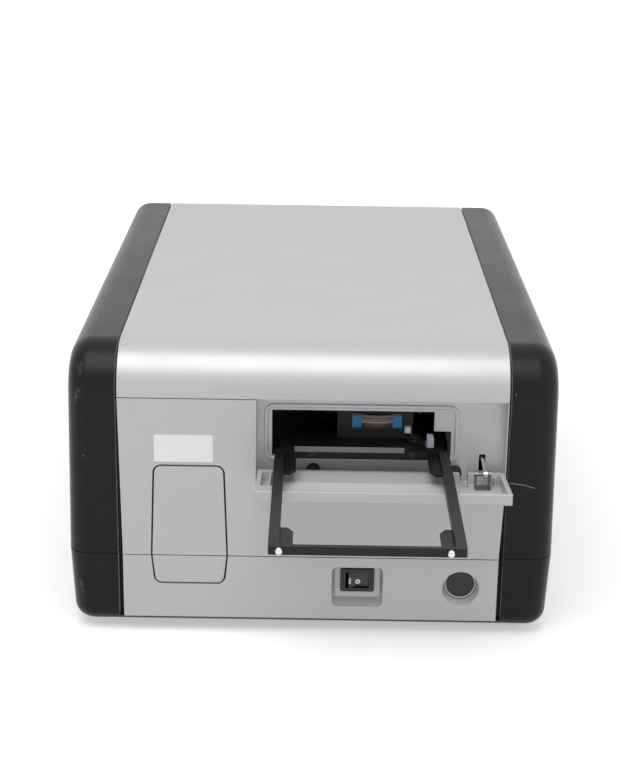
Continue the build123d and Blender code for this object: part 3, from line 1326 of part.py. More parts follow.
def optics_head():
    """The scanning head: a block on the rods with a folding mirror's window and a lens barrel."""
    y0, y1 = BEAM_Y - SCAN_ROD_HALF - HEAD_EDGE, BEAM_Y + SCAN_ROD_HALF + HEAD_EDGE
    x0, x1 = CARRIER_X - HEAD_HALF, CARRIER_X + HEAD_HALF
    body = block(x0, x1, y0, y1, HEAD_Z, HEAD_TOP)
    for side in (-1, 1):
        y = BEAM_Y + side * SCAN_ROD_HALF
        body -= rod_x(x0 - 1, x1 + 1, y, SCAN_ROD_Z, SCAN_ROD_R + RUNNING)
    body -= rod_x(x0 - 1, x1 + 1, BEAM_Y, SCREW_Z, SCREW_R + RUNNING)
    body += rod_z(CARRIER_X, BEAM_Y, LENS_Z, HEAD_Z, LENS_R)
    body -= rod_z(CARRIER_X, BEAM_Y, LENS_Z - 1, HEAD_Z + LENS_H, LENS_R - LENS_WALL)
    return body - rod_x(x0 - 1, CARRIER_X, BEAM_Y, SCAN_ROD_Z - BEAM_DOWN, TUNNEL_R)


def head_lens():
    """The lens in the head's barrel."""
    low = LENS_Z + LENS_IN
    return rod_z(CARRIER_X, BEAM_Y, low, low + LENS_T, LENS_R - LENS_WALL)


def detector_board():
    """The board of detectors under the plate's path."""
    y0, y1 = BEAM_Y - DETECTOR_DEEP, BEAM_Y + DETECTOR_DEEP
    x0, x1 = CARRIER_X - DETECTOR_WIDE, CARRIER_X + DETECTOR_WIDE
    base = CHASSIS_Z + CHASSIS_T
    board = block(x0, x1, y0, y1, base + STANDOFF_H, base + STANDOFF_H + BOARD_T)
    for x in (x0 + STANDOFF_IN, x1 - STANDOFF_IN):
        for y in (y0 + STANDOFF_IN, y1 - STANDOFF_IN):
            board += rod_z(x, y, base, base + STANDOFF_H, STANDOFF_R)
    return board


def photodiodes():
    """One detector under each of the plate's eight wells across."""
    z = CHASSIS_Z + CHASSIS_T + STANDOFF_H + BOARD_T
    made = []
    for n in range(WELL_ROWS):
        x = CARRIER_X + (n - (WELL_ROWS - 1) / 2) * WELL_PITCH
        can = rod_z(x, BEAM_Y, z, z + DIODE_H, DIODE_R)
        made.append(can - rod_z(x, BEAM_Y, z + DIODE_H - DIODE_WINDOW, z + 2 * DIODE_H, DIODE_R - 1))
    return Compound(children=made)


def mono_case():
    """The monochromator's open-topped case, with a light port towards the bridge and the lamp."""
    base = CHASSIS_Z + CHASSIS_T
    wall = MONO_WALL
    form = block(MONO_X0, MONO_X1, MONO_Y0, MONO_Y1, base, MONO_TOP - MONO_LID)
    form = fillet(upright(form), MONO_R)
    form -= block(MONO_X0 + wall, MONO_X1 - wall, MONO_Y0 + wall, MONO_Y1 - wall, base + wall, MONO_TOP)
    form -= rod_x(MONO_X1 - wall - 1, MONO_X1 + 1, BEAM_Y, SCAN_ROD_Z - BEAM_DOWN, PORT_R)
    return form - rod_y(WHEEL_X - FILTER_PCR, MONO_Y1 - wall - 1, MONO_Y1 + 1, WHEEL_Z, PORT_R)


def mono_lid():
    """The monochromator's lid."""
    lid = block(MONO_X0, MONO_X1, MONO_Y0, MONO_Y1, MONO_TOP - MONO_LID, MONO_TOP)
    return fillet(upright(lid), MONO_R)


def grating():
    """The grating on its turntable, which turns to choose the wavelength."""
    low = CHASSIS_Z + CHASSIS_T + MONO_WALL + TURRET_GAP
    top = low + TURRET_H
    y0 = TURRET_Y + HOLDER_Y
    table = rod_z(TURRET_X, TURRET_Y, low, top, TURRET_R)
    holder = block(TURRET_X - HOLDER_HALF, TURRET_X + HOLDER_HALF, y0, y0 + HOLDER_T, top, top + HOLDER_H)
    foot = top + GRATING_LOW
    left, right = TURRET_X - GRATING_HALF, TURRET_X + GRATING_HALF
    plate = block(left, right, y0 - GRATING_T, y0, foot, foot + GRATING_H)
    return table + holder + plate


def fold_mirror():
    """The concave mirror across the case from the grating, on its foot."""
    base = CHASSIS_Z + CHASSIS_T + MONO_WALL
    x = (MONO_X0 + MONO_X1) / 2
    y0 = MONO_Y0 + MIRROR_Y
    y1 = y0 + MIRROR_T
    body = block(x - MIRROR_HALF, x + MIRROR_HALF, y0, y1, base, MONO_TOP - MIRROR_DOWN)
    return body - Pos(x, y1 + MIRROR_R - MIRROR_DISH, WHEEL_Z) * Sphere(MIRROR_R)


def filter_wheel():
    """The wheel of order-sorting filters, with its hub and shaft."""
    wheel = rod_y(WHEEL_X, WHEEL_Y, WHEEL_Y + WHEEL_T, WHEEL_Z, WHEEL_R)
    wheel += rod_y(WHEEL_X, WHEEL_Y, WHEEL_Y + WHEEL_SHAFT_L, WHEEL_Z, WHEEL_SHAFT_R)
    for x, z in filter_places():
        wheel -= rod_y(x, WHEEL_Y - 1, WHEEL_Y + WHEEL_T + 1, z, FILTER_R)
    return wheel


def filter_places():
    """Centres of the filters in the wheel; the first stands in the lamp's beam."""
    made = []
    for n in range(FILTER_COUNT):
        at = Vector(-FILTER_PCR, 0).rotate(Axis.Z, 360 * n / FILTER_COUNT)
        made.append((WHEEL_X + at.X, WHEEL_Z + at.Y))
    return made


def filters():
    """The glass filters in the wheel."""
    y0, y1 = WHEEL_Y + FILTER_IN, WHEEL_Y + WHEEL_T - FILTER_IN
    return Compound(children=[rod_y(x, y0, y1, z, FILTER_R) for x, z in filter_places()])


def wheel_motor():
    """The filter wheel's geared motor on its foot."""
    y0 = WHEEL_Y + WHEEL_T + LAMP_GAP
    x0, x1 = WHEEL_X + WHEEL_FOOT[0], WHEEL_X + WHEEL_FOOT[1]
    can = rod_y(WHEEL_X + WHEEL_MOTOR_X, y0, y0 + WHEEL_MOTOR_L, WHEEL_Z, WHEEL_MOTOR_R)
    foot = block(x0, x1, y0, y0 + WHEEL_MOTOR_L, CHASSIS_Z + CHASSIS_T, WHEEL_Z - WHEEL_MOTOR_X)
    return can + foot - rod_y(WHEEL_X, y0 - 1, y0 + WHEEL_BORE, WHEEL_Z, WHEEL_SHAFT_R + RUNNING)


def flash_lamp():
    """The flash lamp's module behind the filter wheel: a finned block with its window."""
    x0, x1 = MONO_X0, WHEEL_X - LAMP_RIGHT
    y0 = WHEEL_Y + WHEEL_T + LAMP_GAP
    top = WHEEL_Z + LAMP_UP
    form = block(x0, x1, y0, y0 + LAMP_L, CHASSIS_Z + CHASSIS_T, top)
    for n in range(FIN_COUNT):
        y = y0 + FIN_START + n * FIN_PITCH
        form -= block(x0 - 1, x1 + 1, y, y + FIN_GAP, top - FIN_DEEP, top + 1)
    return form - rod_y(WHEEL_X - FILTER_PCR, y0 - 1, y0 + LAMP_WINDOW, WHEEL_Z, PORT_R)


# ---- electronics and cooling ---------------------------------------------------------------
def main_board():
    """The main circuit board on the tub's floor, with its larger parts."""
    base = TUB_Z + WALL
    low = base + STANDOFF_H
    top = low + BOARD_T
    board = block(MAIN_X0, MAIN_X1, MAIN_Y0, MAIN_Y1, low, top)
    for x, y, wide, deep, high in MAIN_PARTS:
        board += block(MAIN_X0 + x, MAIN_X0 + x + wide, MAIN_Y0 + y, MAIN_Y0 + y + deep, top, top + high)
    for x in (MAIN_X0 + STANDOFF_IN, MAIN_X1 - STANDOFF_IN):
        for y in (MAIN_Y0 + STANDOFF_IN, MAIN_Y1 - STANDOFF_IN):
            board += rod_z(x, y, base, low, STANDOFF_R)
    return board


def power_supply():
    """The power supply in its vented cage."""
    base = TUB_Z + WALL
    top = base + SUPPLY_H
    form = block(SUPPLY_X0, SUPPLY_X1, SUPPLY_Y0, SUPPLY_Y1, base, top)
    for n in range(SUPPLY_SLOTS):
        x = SUPPLY_X0 + SUPPLY_EDGE + n * 2 * SUPPLY_SLOT
        form -= block(x, x + SUPPLY_SLOT, SUPPLY_Y0 + SUPPLY_EDGE, SUPPLY_Y1 - SUPPLY_EDGE,
                      top - SUPPLY_SLOT, top + 1)
    return form


def fan_frame():
    """The cooling fan's square frame."""
    y1 = DEPTH - WALL
    half = FAN_SIZE / 2
    bore = half - FAN_WALL
    form = block(FAN_X - half, FAN_X + half, y1 - FAN_T, y1, FAN_Z - half, FAN_Z + half)
    form = fillet(along_y(form), FAN_CORNER)
    form -= rod_y(FAN_X, y1 - FAN_T - 1, y1 + 1, FAN_Z, bore)
    y0, y1 = y1 - FAN_ARM - FAN_ARM_IN, y1 - FAN_ARM_IN
    form += rod_y(FAN_X, y0, y1, FAN_Z, FAN_HUB_R)
    for turn in (0, 90, 180, 270):
        arm = block(-FAN_ARM / 2, FAN_ARM / 2, y0, y1, FAN_HUB_R - 1, bore + 0.5)
        form += Pos(FAN_X, 0, FAN_Z) * Rot(0, turn, 0) * arm
    return form


def fan_rotor():
    """The fan's rotor: a hub with pitched blades."""
    y0 = DEPTH - WALL - FAN_T + ROTOR_FRONT
    y1 = DEPTH - WALL - FAN_ARM - FAN_ARM_IN - ROTOR_BACK
    hub = rod_y(FAN_X, y0, y1, FAN_Z, FAN_HUB_R)
    reach = FAN_SIZE / 2 - FAN_WALL - ROTOR_GAP
    root = FAN_HUB_R - BLADE_ROOT
    blade = Rot(0, 0, BLADE_PITCH) * Box(BLADE_L, BLADE_T, reach - root)
    blade = Pos(0, (y0 + y1) / 2, (root + reach) / 2) * blade & rod_y(0, y0, y1, 0, reach)
    for n in range(FAN_BLADES):
        hub += Pos(FAN_X, 0, FAN_Z) * Rot(0, 360 * n / FAN_BLADES, 0) * blade
    return hub


def group(*shapes):
    """Several separate solids as one shape."""
    return Compound(children=[solid for shape in shapes for solid in shape.solids()])


def main():
    """Build every piece and write it under its node's name."""
    os.makedirs("parts", exist_ok=True)
    cover = side_cover()
    pieces = {
        "base_tub": base_tub(),
        "feet": feet(),
        "hood": hood(),
        "side_cover_right": cover,
        "side_cover_left": mirror(cover, about=Plane.YZ),
        "rear_panel": rear_panel(),
        "rear_frame": rear_frame(),
        "rear_screws": rear_screws(),
        "power_inlet": power_inlet(),
        "data_socket": data_socket(),
        "front_panel": front_panel(),
        "lower_front_panel": lower_front_panel(),
        "port_blank_upper": blank_upper(),
        "port_blank_lower": blank_lower(),
        "port_gasket": port_gasket(),
        "label_plate": label_plate(),
        "switch_bezel": switch_bezel(),
        "switch_rocker": rocker(),
        "button_bezel": button_bezel(),
        "button_cap": button_cap(),
        "button_spring": button_spring(),
        "carrier_door": carrier_door(),
        "door_hinge_pins": hinge_pins(),
        "door_bracket": group(door_bracket(), bracket_pin()),
        "door_link": door_link(),
        "door_bumpers": bumpers(),
        "plate_carrier": plate_carrier(),
        "carrier_studs": carrier_studs(),
        "carriage": carriage(),
        "carriage_bushings": bushings(),
        "carriage_fasteners": group(join_screws(), clamp_pin()),
        "clamp_lever": clamp_lever(),
        "carriage_board": carriage_board(),
        "flat_cable": flat_cable(),
        "cable_ends": flex_ends(),
        "plate_sensor": plate_sensor(),
        "chassis_plate": chassis_plate(),
        "chassis_posts": chassis_posts(),
        "guide_rods": group(guide_rods(), scan_rods()),
        "rod_stands": rod_stands(),
        "drive_belt": belt(),
        "drive_pulley": drive_pulley(),
        "idler_pulley": idler_pulley(),
        "drive_brackets": group(motor_bracket(), idler_bracket()),
        "stepper_motors": group(carrier_motor(), scan_motor(), wheel_motor()),
        "optics_bridge": optics_bridge(),
        "scan_screw": scan_screw(),
        "optics_head": optics_head(),
        "head_lens": head_lens(),
        "detector_board": group(detector_board(), photodiodes()),
        "monochromator_case": group(mono_case(), fold_mirror()),
        "monochromator_lid": mono_lid(),
        "grating": grating(),
        "filter_wheel": filter_wheel(),
        "filters": filters(),
        "flash_lamp": flash_lamp(),
        "main_board": main_board(),
        "power_supply": power_supply(),
        "fan_frame": fan_frame(),
        "fan_rotor": fan_rotor(),
    }
    for node, shape in pieces.items():
        write(node, shape)


if __name__ == "__main__":
    main()
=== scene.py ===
import math

import bpy
import numpy as np
from mathutils import Matrix, Vector


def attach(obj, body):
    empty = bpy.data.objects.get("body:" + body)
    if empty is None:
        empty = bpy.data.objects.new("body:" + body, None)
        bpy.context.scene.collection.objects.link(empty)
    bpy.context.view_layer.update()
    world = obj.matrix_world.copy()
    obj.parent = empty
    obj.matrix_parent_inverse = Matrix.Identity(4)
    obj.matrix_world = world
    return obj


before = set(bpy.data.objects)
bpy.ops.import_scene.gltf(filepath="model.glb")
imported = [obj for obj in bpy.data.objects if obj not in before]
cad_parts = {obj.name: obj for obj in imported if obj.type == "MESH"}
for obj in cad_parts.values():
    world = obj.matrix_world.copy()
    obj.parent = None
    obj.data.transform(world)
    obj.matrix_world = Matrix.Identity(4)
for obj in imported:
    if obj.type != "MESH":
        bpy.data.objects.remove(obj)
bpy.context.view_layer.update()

MM = 0.001
# The reader's front face stands at this y in the frame, and its carrier comes out towards -Y.
# Places below are x, y, z in millimetres from the middle of the front face, at bench height.
FRONT = -0.1237


# ---- colour and node helpers ---------------------------------------------------------------
def linear(code):
    """An sRGB hex value as a linear colour with alpha."""
    parts = [int(code[i:i + 2], 16) / 255 for i in (1, 3, 5)]
    return [c / 12.92 if c <= 0.04045 else ((c + 0.055) / 1.055) ** 2.4 for c in parts] + [1.0]


def add(tree, kind, inputs=None, **settings):
    """One node with its settings, and each input as a value or a link from another socket."""
    made = tree.nodes.new("ShaderNode" + kind)
    for name, value in settings.items():
        setattr(made, name, value)
    for name, value in (inputs or {}).items():
        if isinstance(value, bpy.types.NodeSocket):
            tree.links.new(value, made.inputs[name])
        else:
            made.inputs[name].default_value = value
    return made


def start(name, **shader_inputs):
    """A new material: its node tree, its Principled shader and the Object coordinates."""
    made = bpy.data.materials.new(name)
    made.use_nodes = True
    tree = made.node_tree
    tree.nodes.clear()
    shader = add(tree, "BsdfPrincipled", shader_inputs)
    add(tree, "OutputMaterial", {"Surface": shader.outputs["BSDF"]})
    place = add(tree, "TexCoord").outputs["Object"]
    return made, tree, shader, place


def per_mm(size):
    """Texture scale at which one cell is this many millimetres."""
    return 1000.0 / size


def grain(tree, place, size, detail=2.0, stretch=None):
    """Noise with features of about this size in millimetres, drawn out along an axis if asked."""
    if stretch:
        place = add(tree, "Mapping", {"Vector": place, "Scale": stretch}).outputs["Vector"]
    noise = add(tree, "TexNoise", {"Vector": place, "Scale": per_mm(size), "Detail": detail})
    return noise.outputs["Fac"]


def span(tree, value, low, high, to_low=0.0, to_high=1.0):
    """A value's stretch between low and high, clamped, brought to another stretch."""
    return add(tree, "MapRange", {"Value": value, "From Min": low, "From Max": high,
                                  "To Min": to_low, "To Max": to_high}).outputs["Result"]


def step(tree, place, axis, low, high, to_low=0.0, to_high=1.0):
    """A change along X, Y or Z from one level to another, between two places in millimetres."""
    along = add(tree, "SeparateXYZ", {"Vector": place}).outputs[axis]
    return span(tree, along, low * MM, high * MM, to_low, to_high)


def math_node(tree, operation, first, second=0.0):
    """One arithmetic step."""
    return add(tree, "Math", {0: first, 1: second}, operation=operation).outputs[0]


def blend_colours(tree, share, first, second):
    """A mix of two colours, each a hex value or a socket."""
    made = add(tree, "Mix", {"Factor": share}, data_type="RGBA")
    for socket, colour in ((made.inputs[6], first), (made.inputs[7], second)):
        if isinstance(colour, str):
            socket.default_value = linear(colour)
        else:
            tree.links.new(colour, socket)
    return made.outputs[2]


def paint(tree, shader, share, colour):
    """Lay a colour over the finish where the share is 1."""
    under = shader.inputs["Base Color"].links[0].from_socket
    tree.links.new(blend_colours(tree, share, under, colour), shader.inputs["Base Color"])


def spot(tree, place, middle, half, turn=(0.0, 0.0, 0.0), soft=0.25):
    """1 inside a turned box, 0 outside: the box has this middle and these half sizes, and its
    edge fades over soft millimetres."""
    centre = [middle[0] * MM, middle[1] * MM + FRONT, middle[2] * MM]
    turned = add(tree, "Mapping", {"Vector": place, "Location": centre, "Rotation": turn},
                 vector_type="TEXTURE").outputs["Vector"]
    axes = add(tree, "SeparateXYZ", {"Vector": turned}).outputs
    share = None
    for axis, reach in zip(axes, half):
        away = math_node(tree, "ABSOLUTE", axis)
        inside = span(tree, away, (reach - soft) * MM, reach * MM, 1.0, 0.0)
        share = inside if share is None else math_node(tree, "MULTIPLY", share, inside)
    return share


def relief(tree, shader, height, depth):
    """Bump of this depth in millimetres from a height between 0 and 1."""
    bump = add(tree, "Bump", {"Height": height, "Strength": 1.0, "Distance": depth * MM})
    tree.links.new(bump.outputs["Normal"], shader.inputs["Normal"])


CLOUD = 35.0               # size of the soft changes of gloss over a finish
GLOSS_SWING = 0.03         # and how far they go, each way
MID_NOISE = (0.3, 0.7)     # noise keeps to this stretch for most of a surface


def coat(name, light, dark, size, depth, rough, stretch=None, **inputs):
    """A finish of two close tones in grains of one size, as deep as depth, both in millimetres,
    with a soft change of gloss over it."""
    made, tree, shader, place = start(name, **inputs)
    grains = grain(tree, place, size, stretch=stretch)
    tones = blend_colours(tree, span(tree, grains, *MID_NOISE), dark, light)
    tree.links.new(tones, shader.inputs["Base Color"])
    clouds = grain(tree, place, CLOUD, detail=3.0)
    gloss = span(tree, clouds, *MID_NOISE, rough - GLOSS_SWING, rough + GLOSS_SWING)
    tree.links.new(gloss, shader.inputs["Roughness"])
    relief(tree, shader, grains, depth)
    return made, tree, shader, place


# ---- finishes ------------------------------------------------------------------------------
TOP = 170.0                # height of the hood's top
RUB_STRENGTH = 0.35
# Each rub on the hood's top: its middle in x and y, its half length and half width, its turn.
HOOD_RUBS = (
    ((-7.4, 159.9), (1.6, 0.9), 0.4),
    ((-32.0, 98.1), (5.4, 0.5), 0.27),
    ((78.0, 93.2), (3.4, 0.4), 0.1),
)
# Where the door's recess is painted a shade paler: painted light in the shade of the hood.
RECESS_LIGHT_MIDDLE = (38.4, 9.2, 117.0)
RECESS_LIGHT_HALF = (70.2, 6.0, 26.0)


def silver_paint():
    """Baked metallic paint on the hood and the light panels: fine flake, satin, a few light rubs.
    The flake is drawn at 0.7 mm, coarser than it is, so that it shows as the faint speckle. The
    door's recess is painted a shade paler than the panel round it: painted light where the hood
    shades it."""
    made, tree, shader, place = coat("baked_silver_paint", "#BFC0C2", "#B5B6B8", size=0.7, depth=0.002,
                                     rough=0.40, Metallic=0.3, IOR=1.5)
    stains = span(tree, grain(tree, place, 24.0, detail=4.0), 0.68, 0.82, 0.0, 0.12)
    paint(tree, shader, stains, "#97989B")
    # painted light: the door's recess a shade paler, where the hood shades it
    paint(tree, shader, spot(tree, place, RECESS_LIGHT_MIDDLE, RECESS_LIGHT_HALF, soft=0.2), "#D2D3D5")
    for (x, y), (along, across), turn in HOOD_RUBS:
        rub = spot(tree, place, (x, y, TOP), (along, across, 1.0), (0.0, 0.0, turn), soft=0.4)
        paint(tree, shader, math_node(tree, "MULTIPLY", rub, RUB_STRENGTH), "#7D7A76")
    return made


# Each mark on the covers' fronts: its middle, its half sizes, its turn and its strength.
SCRATCHES = (
    ((114.6, 1.0, 95.0), (3.9, 5.0, 0.45), 0.12, 0.42),
    ((122.0, 1.0, 93.6), (4.0, 5.0, 0.45), 0.28, 0.42),
)
# Rubs, and painted highlights: the three broad faint marks near x -130 are painted highlights on the left
# cover's front rounding.
SCUFFS_AND_HIGHLIGHTS = (
    ((111.9, 1.0, 148.0), (1.0, 6.0, 0.7), 0.5, 0.4),
    ((-129.6, 3.0, 160.5), (2.4, 6.0, 6.0), 0.1, 0.13),
    ((-131.0, 3.0, 143.0), (2.2, 6.0, 5.0), 0.2, 0.13),
    ((-131.7, 3.0, 27.1), (2.0, 6.0, 5.0), -0.3, 0.10),
    ((-127.6, 2.0, 108.0), (1.6, 5.0, 0.5), 0.4, 0.2),
)
MARK_FADE = 0.95           # a mark fades over this share of its narrowest half size


def charcoal_paint():
    """Charcoal powder coat on the side covers and the tub: near black, fine texture, semi-matt,
    with pale rubs at the front corners, of which the broad faint ones on the left cover's rounding
    are painted highlights, and one long scratch beside the door. The dust in its texture makes it
    paler where it is seen along the surface."""
    dusty = {"Specular IOR Level": 0.18, "Sheen Weight": 0.42, "Sheen Roughness": 0.3,
             "Sheen Tint": linear("#FFF8F0")}
    made, tree, shader, place = coat("charcoal_powder_coat", "#161514", "#0E0D0D", size=1.0, depth=0.010,
                                     rough=0.36, IOR=1.5, **dusty)
    specks = span(tree, grain(tree, place, 9.0, detail=6.0), 0.70, 0.80, 0.0, 0.16)
    paint(tree, shader, specks, "#5C5B5A")
    broken = span(tree, grain(tree, place, 2.2, detail=3.0), 0.42, 0.60)
    # pale marks: scratches, rubs, and painted highlights on the left cover's rounding
    for marks, worn in ((SCRATCHES, 1.0), (SCUFFS_AND_HIGHLIGHTS, broken)):
        for middle, half, turn, strength in marks:
            mark = spot(tree, place, middle, half, (0.0, turn, 0.0), soft=min(half) * MARK_FADE)
            mark = math_node(tree, "MULTIPLY", mark, worn)
            paint(tree, shader, math_node(tree, "MULTIPLY", mark, strength), "#B9BCC0")
    return made


def wrinkle_paint():
    """Grey wrinkle paint on the rear panel's steel: folds 1.4 mm apart that dull it."""
    return coat("grey_wrinkle_paint", "#6A6C6E", "#565859", size=1.4, depth=0.03, rough=0.6)[0]


def zinc_steel():
    """Zinc-plated sheet steel: bright, with a long rolled grain along X."""
    return coat("zinc_plated_steel", "#C4C6C6", "#A6A8A9", size=1.2, depth=0.004, rough=0.34,
                stretch=(0.08, 1, 1), Metallic=1.0)[0]


def bright_nickel():
    """Bright nickel on pins, studs, spring and screws: nearly a mirror."""
    return coat("bright_nickel", "#E2E0DB", "#CFCDC8", size=2.0, depth=0.001, rough=0.16, Metallic=1.0)[0]


def dull_nickel():
    """Nickel-plated steel of the door's bracket, gone warm and dull with handling."""
    return coat("nickel_plated_steel", "#8A8883", "#6C6A66", size=1.0, depth=0.002, rough=0.3,
                Metallic=1.0)[0]


def ground_steel():
    """Ground and polished steel of the rods: fine rings left by the grinding."""
    return coat("ground_steel", "#CDCFD0", "#B4B6B8", size=0.5, depth=0.001, rough=0.2,
                stretch=(1, 0.4, 1), Metallic=1.0)[0]


def machined_aluminium():
    """Milled aluminium: cutter lines along Y about a millimetre apart."""
    return coat("machined_aluminium", "#C9CBCD", "#AEB0B3", size=1.0, depth=0.004, rough=0.36,
                stretch=(1, 0.05, 1), Metallic=1.0)[0]


def black_anodised(name, light, dark, rough):
    """Black dyed oxide or enamel over bead-blasted metal: fine grain, low shine."""
    return coat(name, light, dark, size=0.6, depth=0.005, rough=rough, IOR=1.5,
                **{"Specular IOR Level": 0.3})[0]


def moulded(name, light, dark, size, depth, rough):
    """Injection-moulded plastic, vinyl or lacquer with the fine texture of its tool."""
    return coat(name, light, dark, size, depth, rough, IOR=1.5)[0]


def black_rubber():
    """Moulded black rubber: matt, with a dusty bloom."""
    return coat("black_rubber", "#262626", "#1A1A1A", size=0.9, depth=0.01, rough=0.75)[0]


def sintered_bronze():
    """Sintered bronze of the plain bushings, with open pores."""
    return coat("sintered_bronze", "#A9804A", "#80602F", size=0.5, depth=0.01, rough=0.42, Metallic=1.0)[0]


def optical_glass():
    """Polished optical glass."""
    made, tree, shader, place = start("optical_glass", IOR=1.52, Roughness=0.02)
    shader.inputs["Base Color"].default_value = linear("#F1F6F6")
    shader.inputs["Transmission Weight"].default_value = 1.0
    relief(tree, shader, grain(tree, place, 3.0), 0.001)
    return made


def circuit_board():
    """Green solder mask over copper laid out in 6 mm fields, with tinned pads 4.5 mm apart."""
    made, tree, shader, place = start("circuit_board", Roughness=0.3, IOR=1.5)
    runs = add(tree, "TexBrick", {"Vector": place, "Scale": per_mm(6.0), "Mortar Size": 0.06,
                                  "Color1": linear("#12512F"), "Color2": linear("#0E4427"),
                                  "Mortar": linear("#2A7A48")})
    pads = add(tree, "TexVoronoi", {"Vector": place, "Scale": per_mm(4.5)}).outputs["Distance"]
    share = span(tree, pads, 0.10, 0.14, 1.0, 0.0)
    masked = blend_colours(tree, share, runs.outputs["Color"], "#B9BBB4")
    tree.links.new(masked, shader.inputs["Base Color"])
    relief(tree, shader, runs.outputs["Fac"], 0.03)
    return made


CONDUCTOR_PITCH = 0.9
BANDS_PER_CELL = 6.283     # a wave texture's bands in one cell of its scale
# Heights where the film's painted shade below gives way to painted light above.
FILM_SHADE_TO_LIGHT = (121.5, 123.5)
# Height of the painted highlight along the fold.
FILM_FOLD = 124.0
FILM_MIDDLE_X = 36.6


def polyimide_film():
    """Polyimide film over copper conductors that run from end to end, drawn 0.9 mm apart: brown,
    with painted light towards its top edge and painted shade below, and one painted highlight
    line where the light catches the fold."""
    made, tree, shader, place = start("polyimide_film", Roughness=0.34, IOR=1.6)
    waves = add(tree, "TexWave", {"Vector": place, "Scale": per_mm(CONDUCTOR_PITCH) / BANDS_PER_CELL,
                                  "Distortion": 0.2}, bands_direction="Z").outputs["Fac"]
    # painted light and painted shade: pale brown above, deep brown below
    pale = blend_colours(tree, span(tree, waves, 0.35, 0.65), "#6A5F57", "#837870")
    deep = blend_colours(tree, span(tree, waves, 0.35, 0.65), "#25201D", "#332C28")
    brown = blend_colours(tree, step(tree, place, "Z", *FILM_SHADE_TO_LIGHT), deep, pale)
    tree.links.new(brown, shader.inputs["Base Color"])
    # painted highlight where the light catches the fold
    fold = spot(tree, place, (FILM_MIDDLE_X, 18.0, FILM_FOLD), (12.0, 6.0, 0.4))
    paint(tree, shader, fold, "#C2B8AC")
    relief(tree, shader, waves, 0.02)
    return made


# Heights over which painted shade darkens the stiffener's top, and its foot.
STIFFENER_TOP_SHADE = (126.8, 127.6)
STIFFENER_FOOT_SHADE = (120.0, 120.8)


def polyester_stiffener():
    """Blue polyester stiffener of the cable's ends: glossy, with painted shade along its top and foot."""
    made, tree, shader, place = coat("blue_polyester_stiffener", "#2C90CF", "#2080BD", size=0.9,
                                     depth=0.003, rough=0.35, IOR=1.6)
    # painted shade along the top and along the foot
    paint(tree, shader, step(tree, place, "Z", *STIFFENER_TOP_SHADE), "#0C3350")
    paint(tree, shader, step(tree, place, "Z", *STIFFENER_FOOT_SHADE, 1.0, 0.0), "#0C3350")
    return made


FINGER_X = (63.6, 64.0)    # the arm's black ends here and the finger's grey begins


def clamp_acetal():
    """Moulded acetal of the clamp: a black arm, and a lilac-grey finger at its tip."""
    made, tree, shader, place = coat("black_and_grey_acetal", "#1B1B1D", "#131315", size=0.9,
                                     depth=0.004, rough=0.42, IOR=1.48)
    paint(tree, shader, step(tree, place, "X", *FINGER_X), "#9B9AA8")
    return made


ON_BAR = (22.7, 4.0, 32.6)
ON_BAR_HALF = (0.75, 5.0, 2.0)
OFF_RING = (27.3, 31.5)
OFF_RING_R = 1.0
OFF_LINE = (0.35, 0.6)     # the ring's line fades out between these distances from its middle


def rocker_polycarbonate():
    """Glossy black polycarbonate rocker with its two pad-printed marks: a bar for on at the
    left, a ring for off to the right."""
    made, tree, shader, place = coat("black_polycarbonate_marked", "#131315", "#0D0D0F", size=1.5,
                                     depth=0.001, rough=0.24, IOR=1.58)
    paint(tree, shader, spot(tree, place, ON_BAR, ON_BAR_HALF), "#A9C3D6")
    x, z = OFF_RING
    flat = add(tree, "Mapping", {"Vector": place, "Location": [-x * MM, 0.0, -z * MM],
                                 "Scale": [1.0, 0.0, 1.0]})
    away = add(tree, "VectorMath", {0: flat.outputs["Vector"]}, operation="LENGTH").outputs["Value"]
    line = math_node(tree, "ABSOLUTE", math_node(tree, "SUBTRACT", away, OFF_RING_R * MM))
    near, far = OFF_LINE
    paint(tree, shader, span(tree, line, near * MM, far * MM, 1.0, 0.0), "#E6E9EC")
    return made


FINISHES = {
    "silver": silver_paint(),
    "charcoal": charcoal_paint(),
    "rear": wrinkle_paint(),
    "zinc": zinc_steel(),
    "nickel": bright_nickel(),
    "ground": ground_steel(),
    "machined": machined_aluminium(),
    "anodised": black_anodised("black_anodised_aluminium", "#0E0E0F", "#080809", 0.40),
    "rubber": black_rubber(),
    "bronze": sintered_bronze(),
    "glass": optical_glass(),
    "board": circuit_board(),
    "film": polyimide_film(),
    "black": moulded("black_abs", "#141415", "#0E0E0F", 0.8, 0.008, 0.5),
    "gloss": moulded("black_polycarbonate", "#101012", "#0A0A0B", 1.5, 0.001, 0.28),
    "rocker": rocker_polycarbonate(),
    "dark_board": moulded("black_solder_mask", "#0C0B0A", "#080706", 1.1, 0.002, 0.6),
    "lever": clamp_acetal(),
    "ring": moulded("satin_grey_abs", "#C6C8CD", "#B8BABF", 0.8, 0.003, 0.28),
    "bracket": dull_nickel(),
    "strip": moulded("grey_anodised_strip", "#77787B", "#6B6C6F", 0.8, 0.002, 0.4),
    "door": moulded("light_grey_abs", "#BDBEC0", "#B4B5B7", 0.9, 0.005, 0.42),
    "white": moulded("white_vinyl", "#F2F3F3", "#EEEFEF", 1.2, 0.001, 0.5),
    "blue": polyester_stiffener(),
    "motor": black_anodised("black_motor_steel", "#2C2C2D", "#202021", 0.45),
}

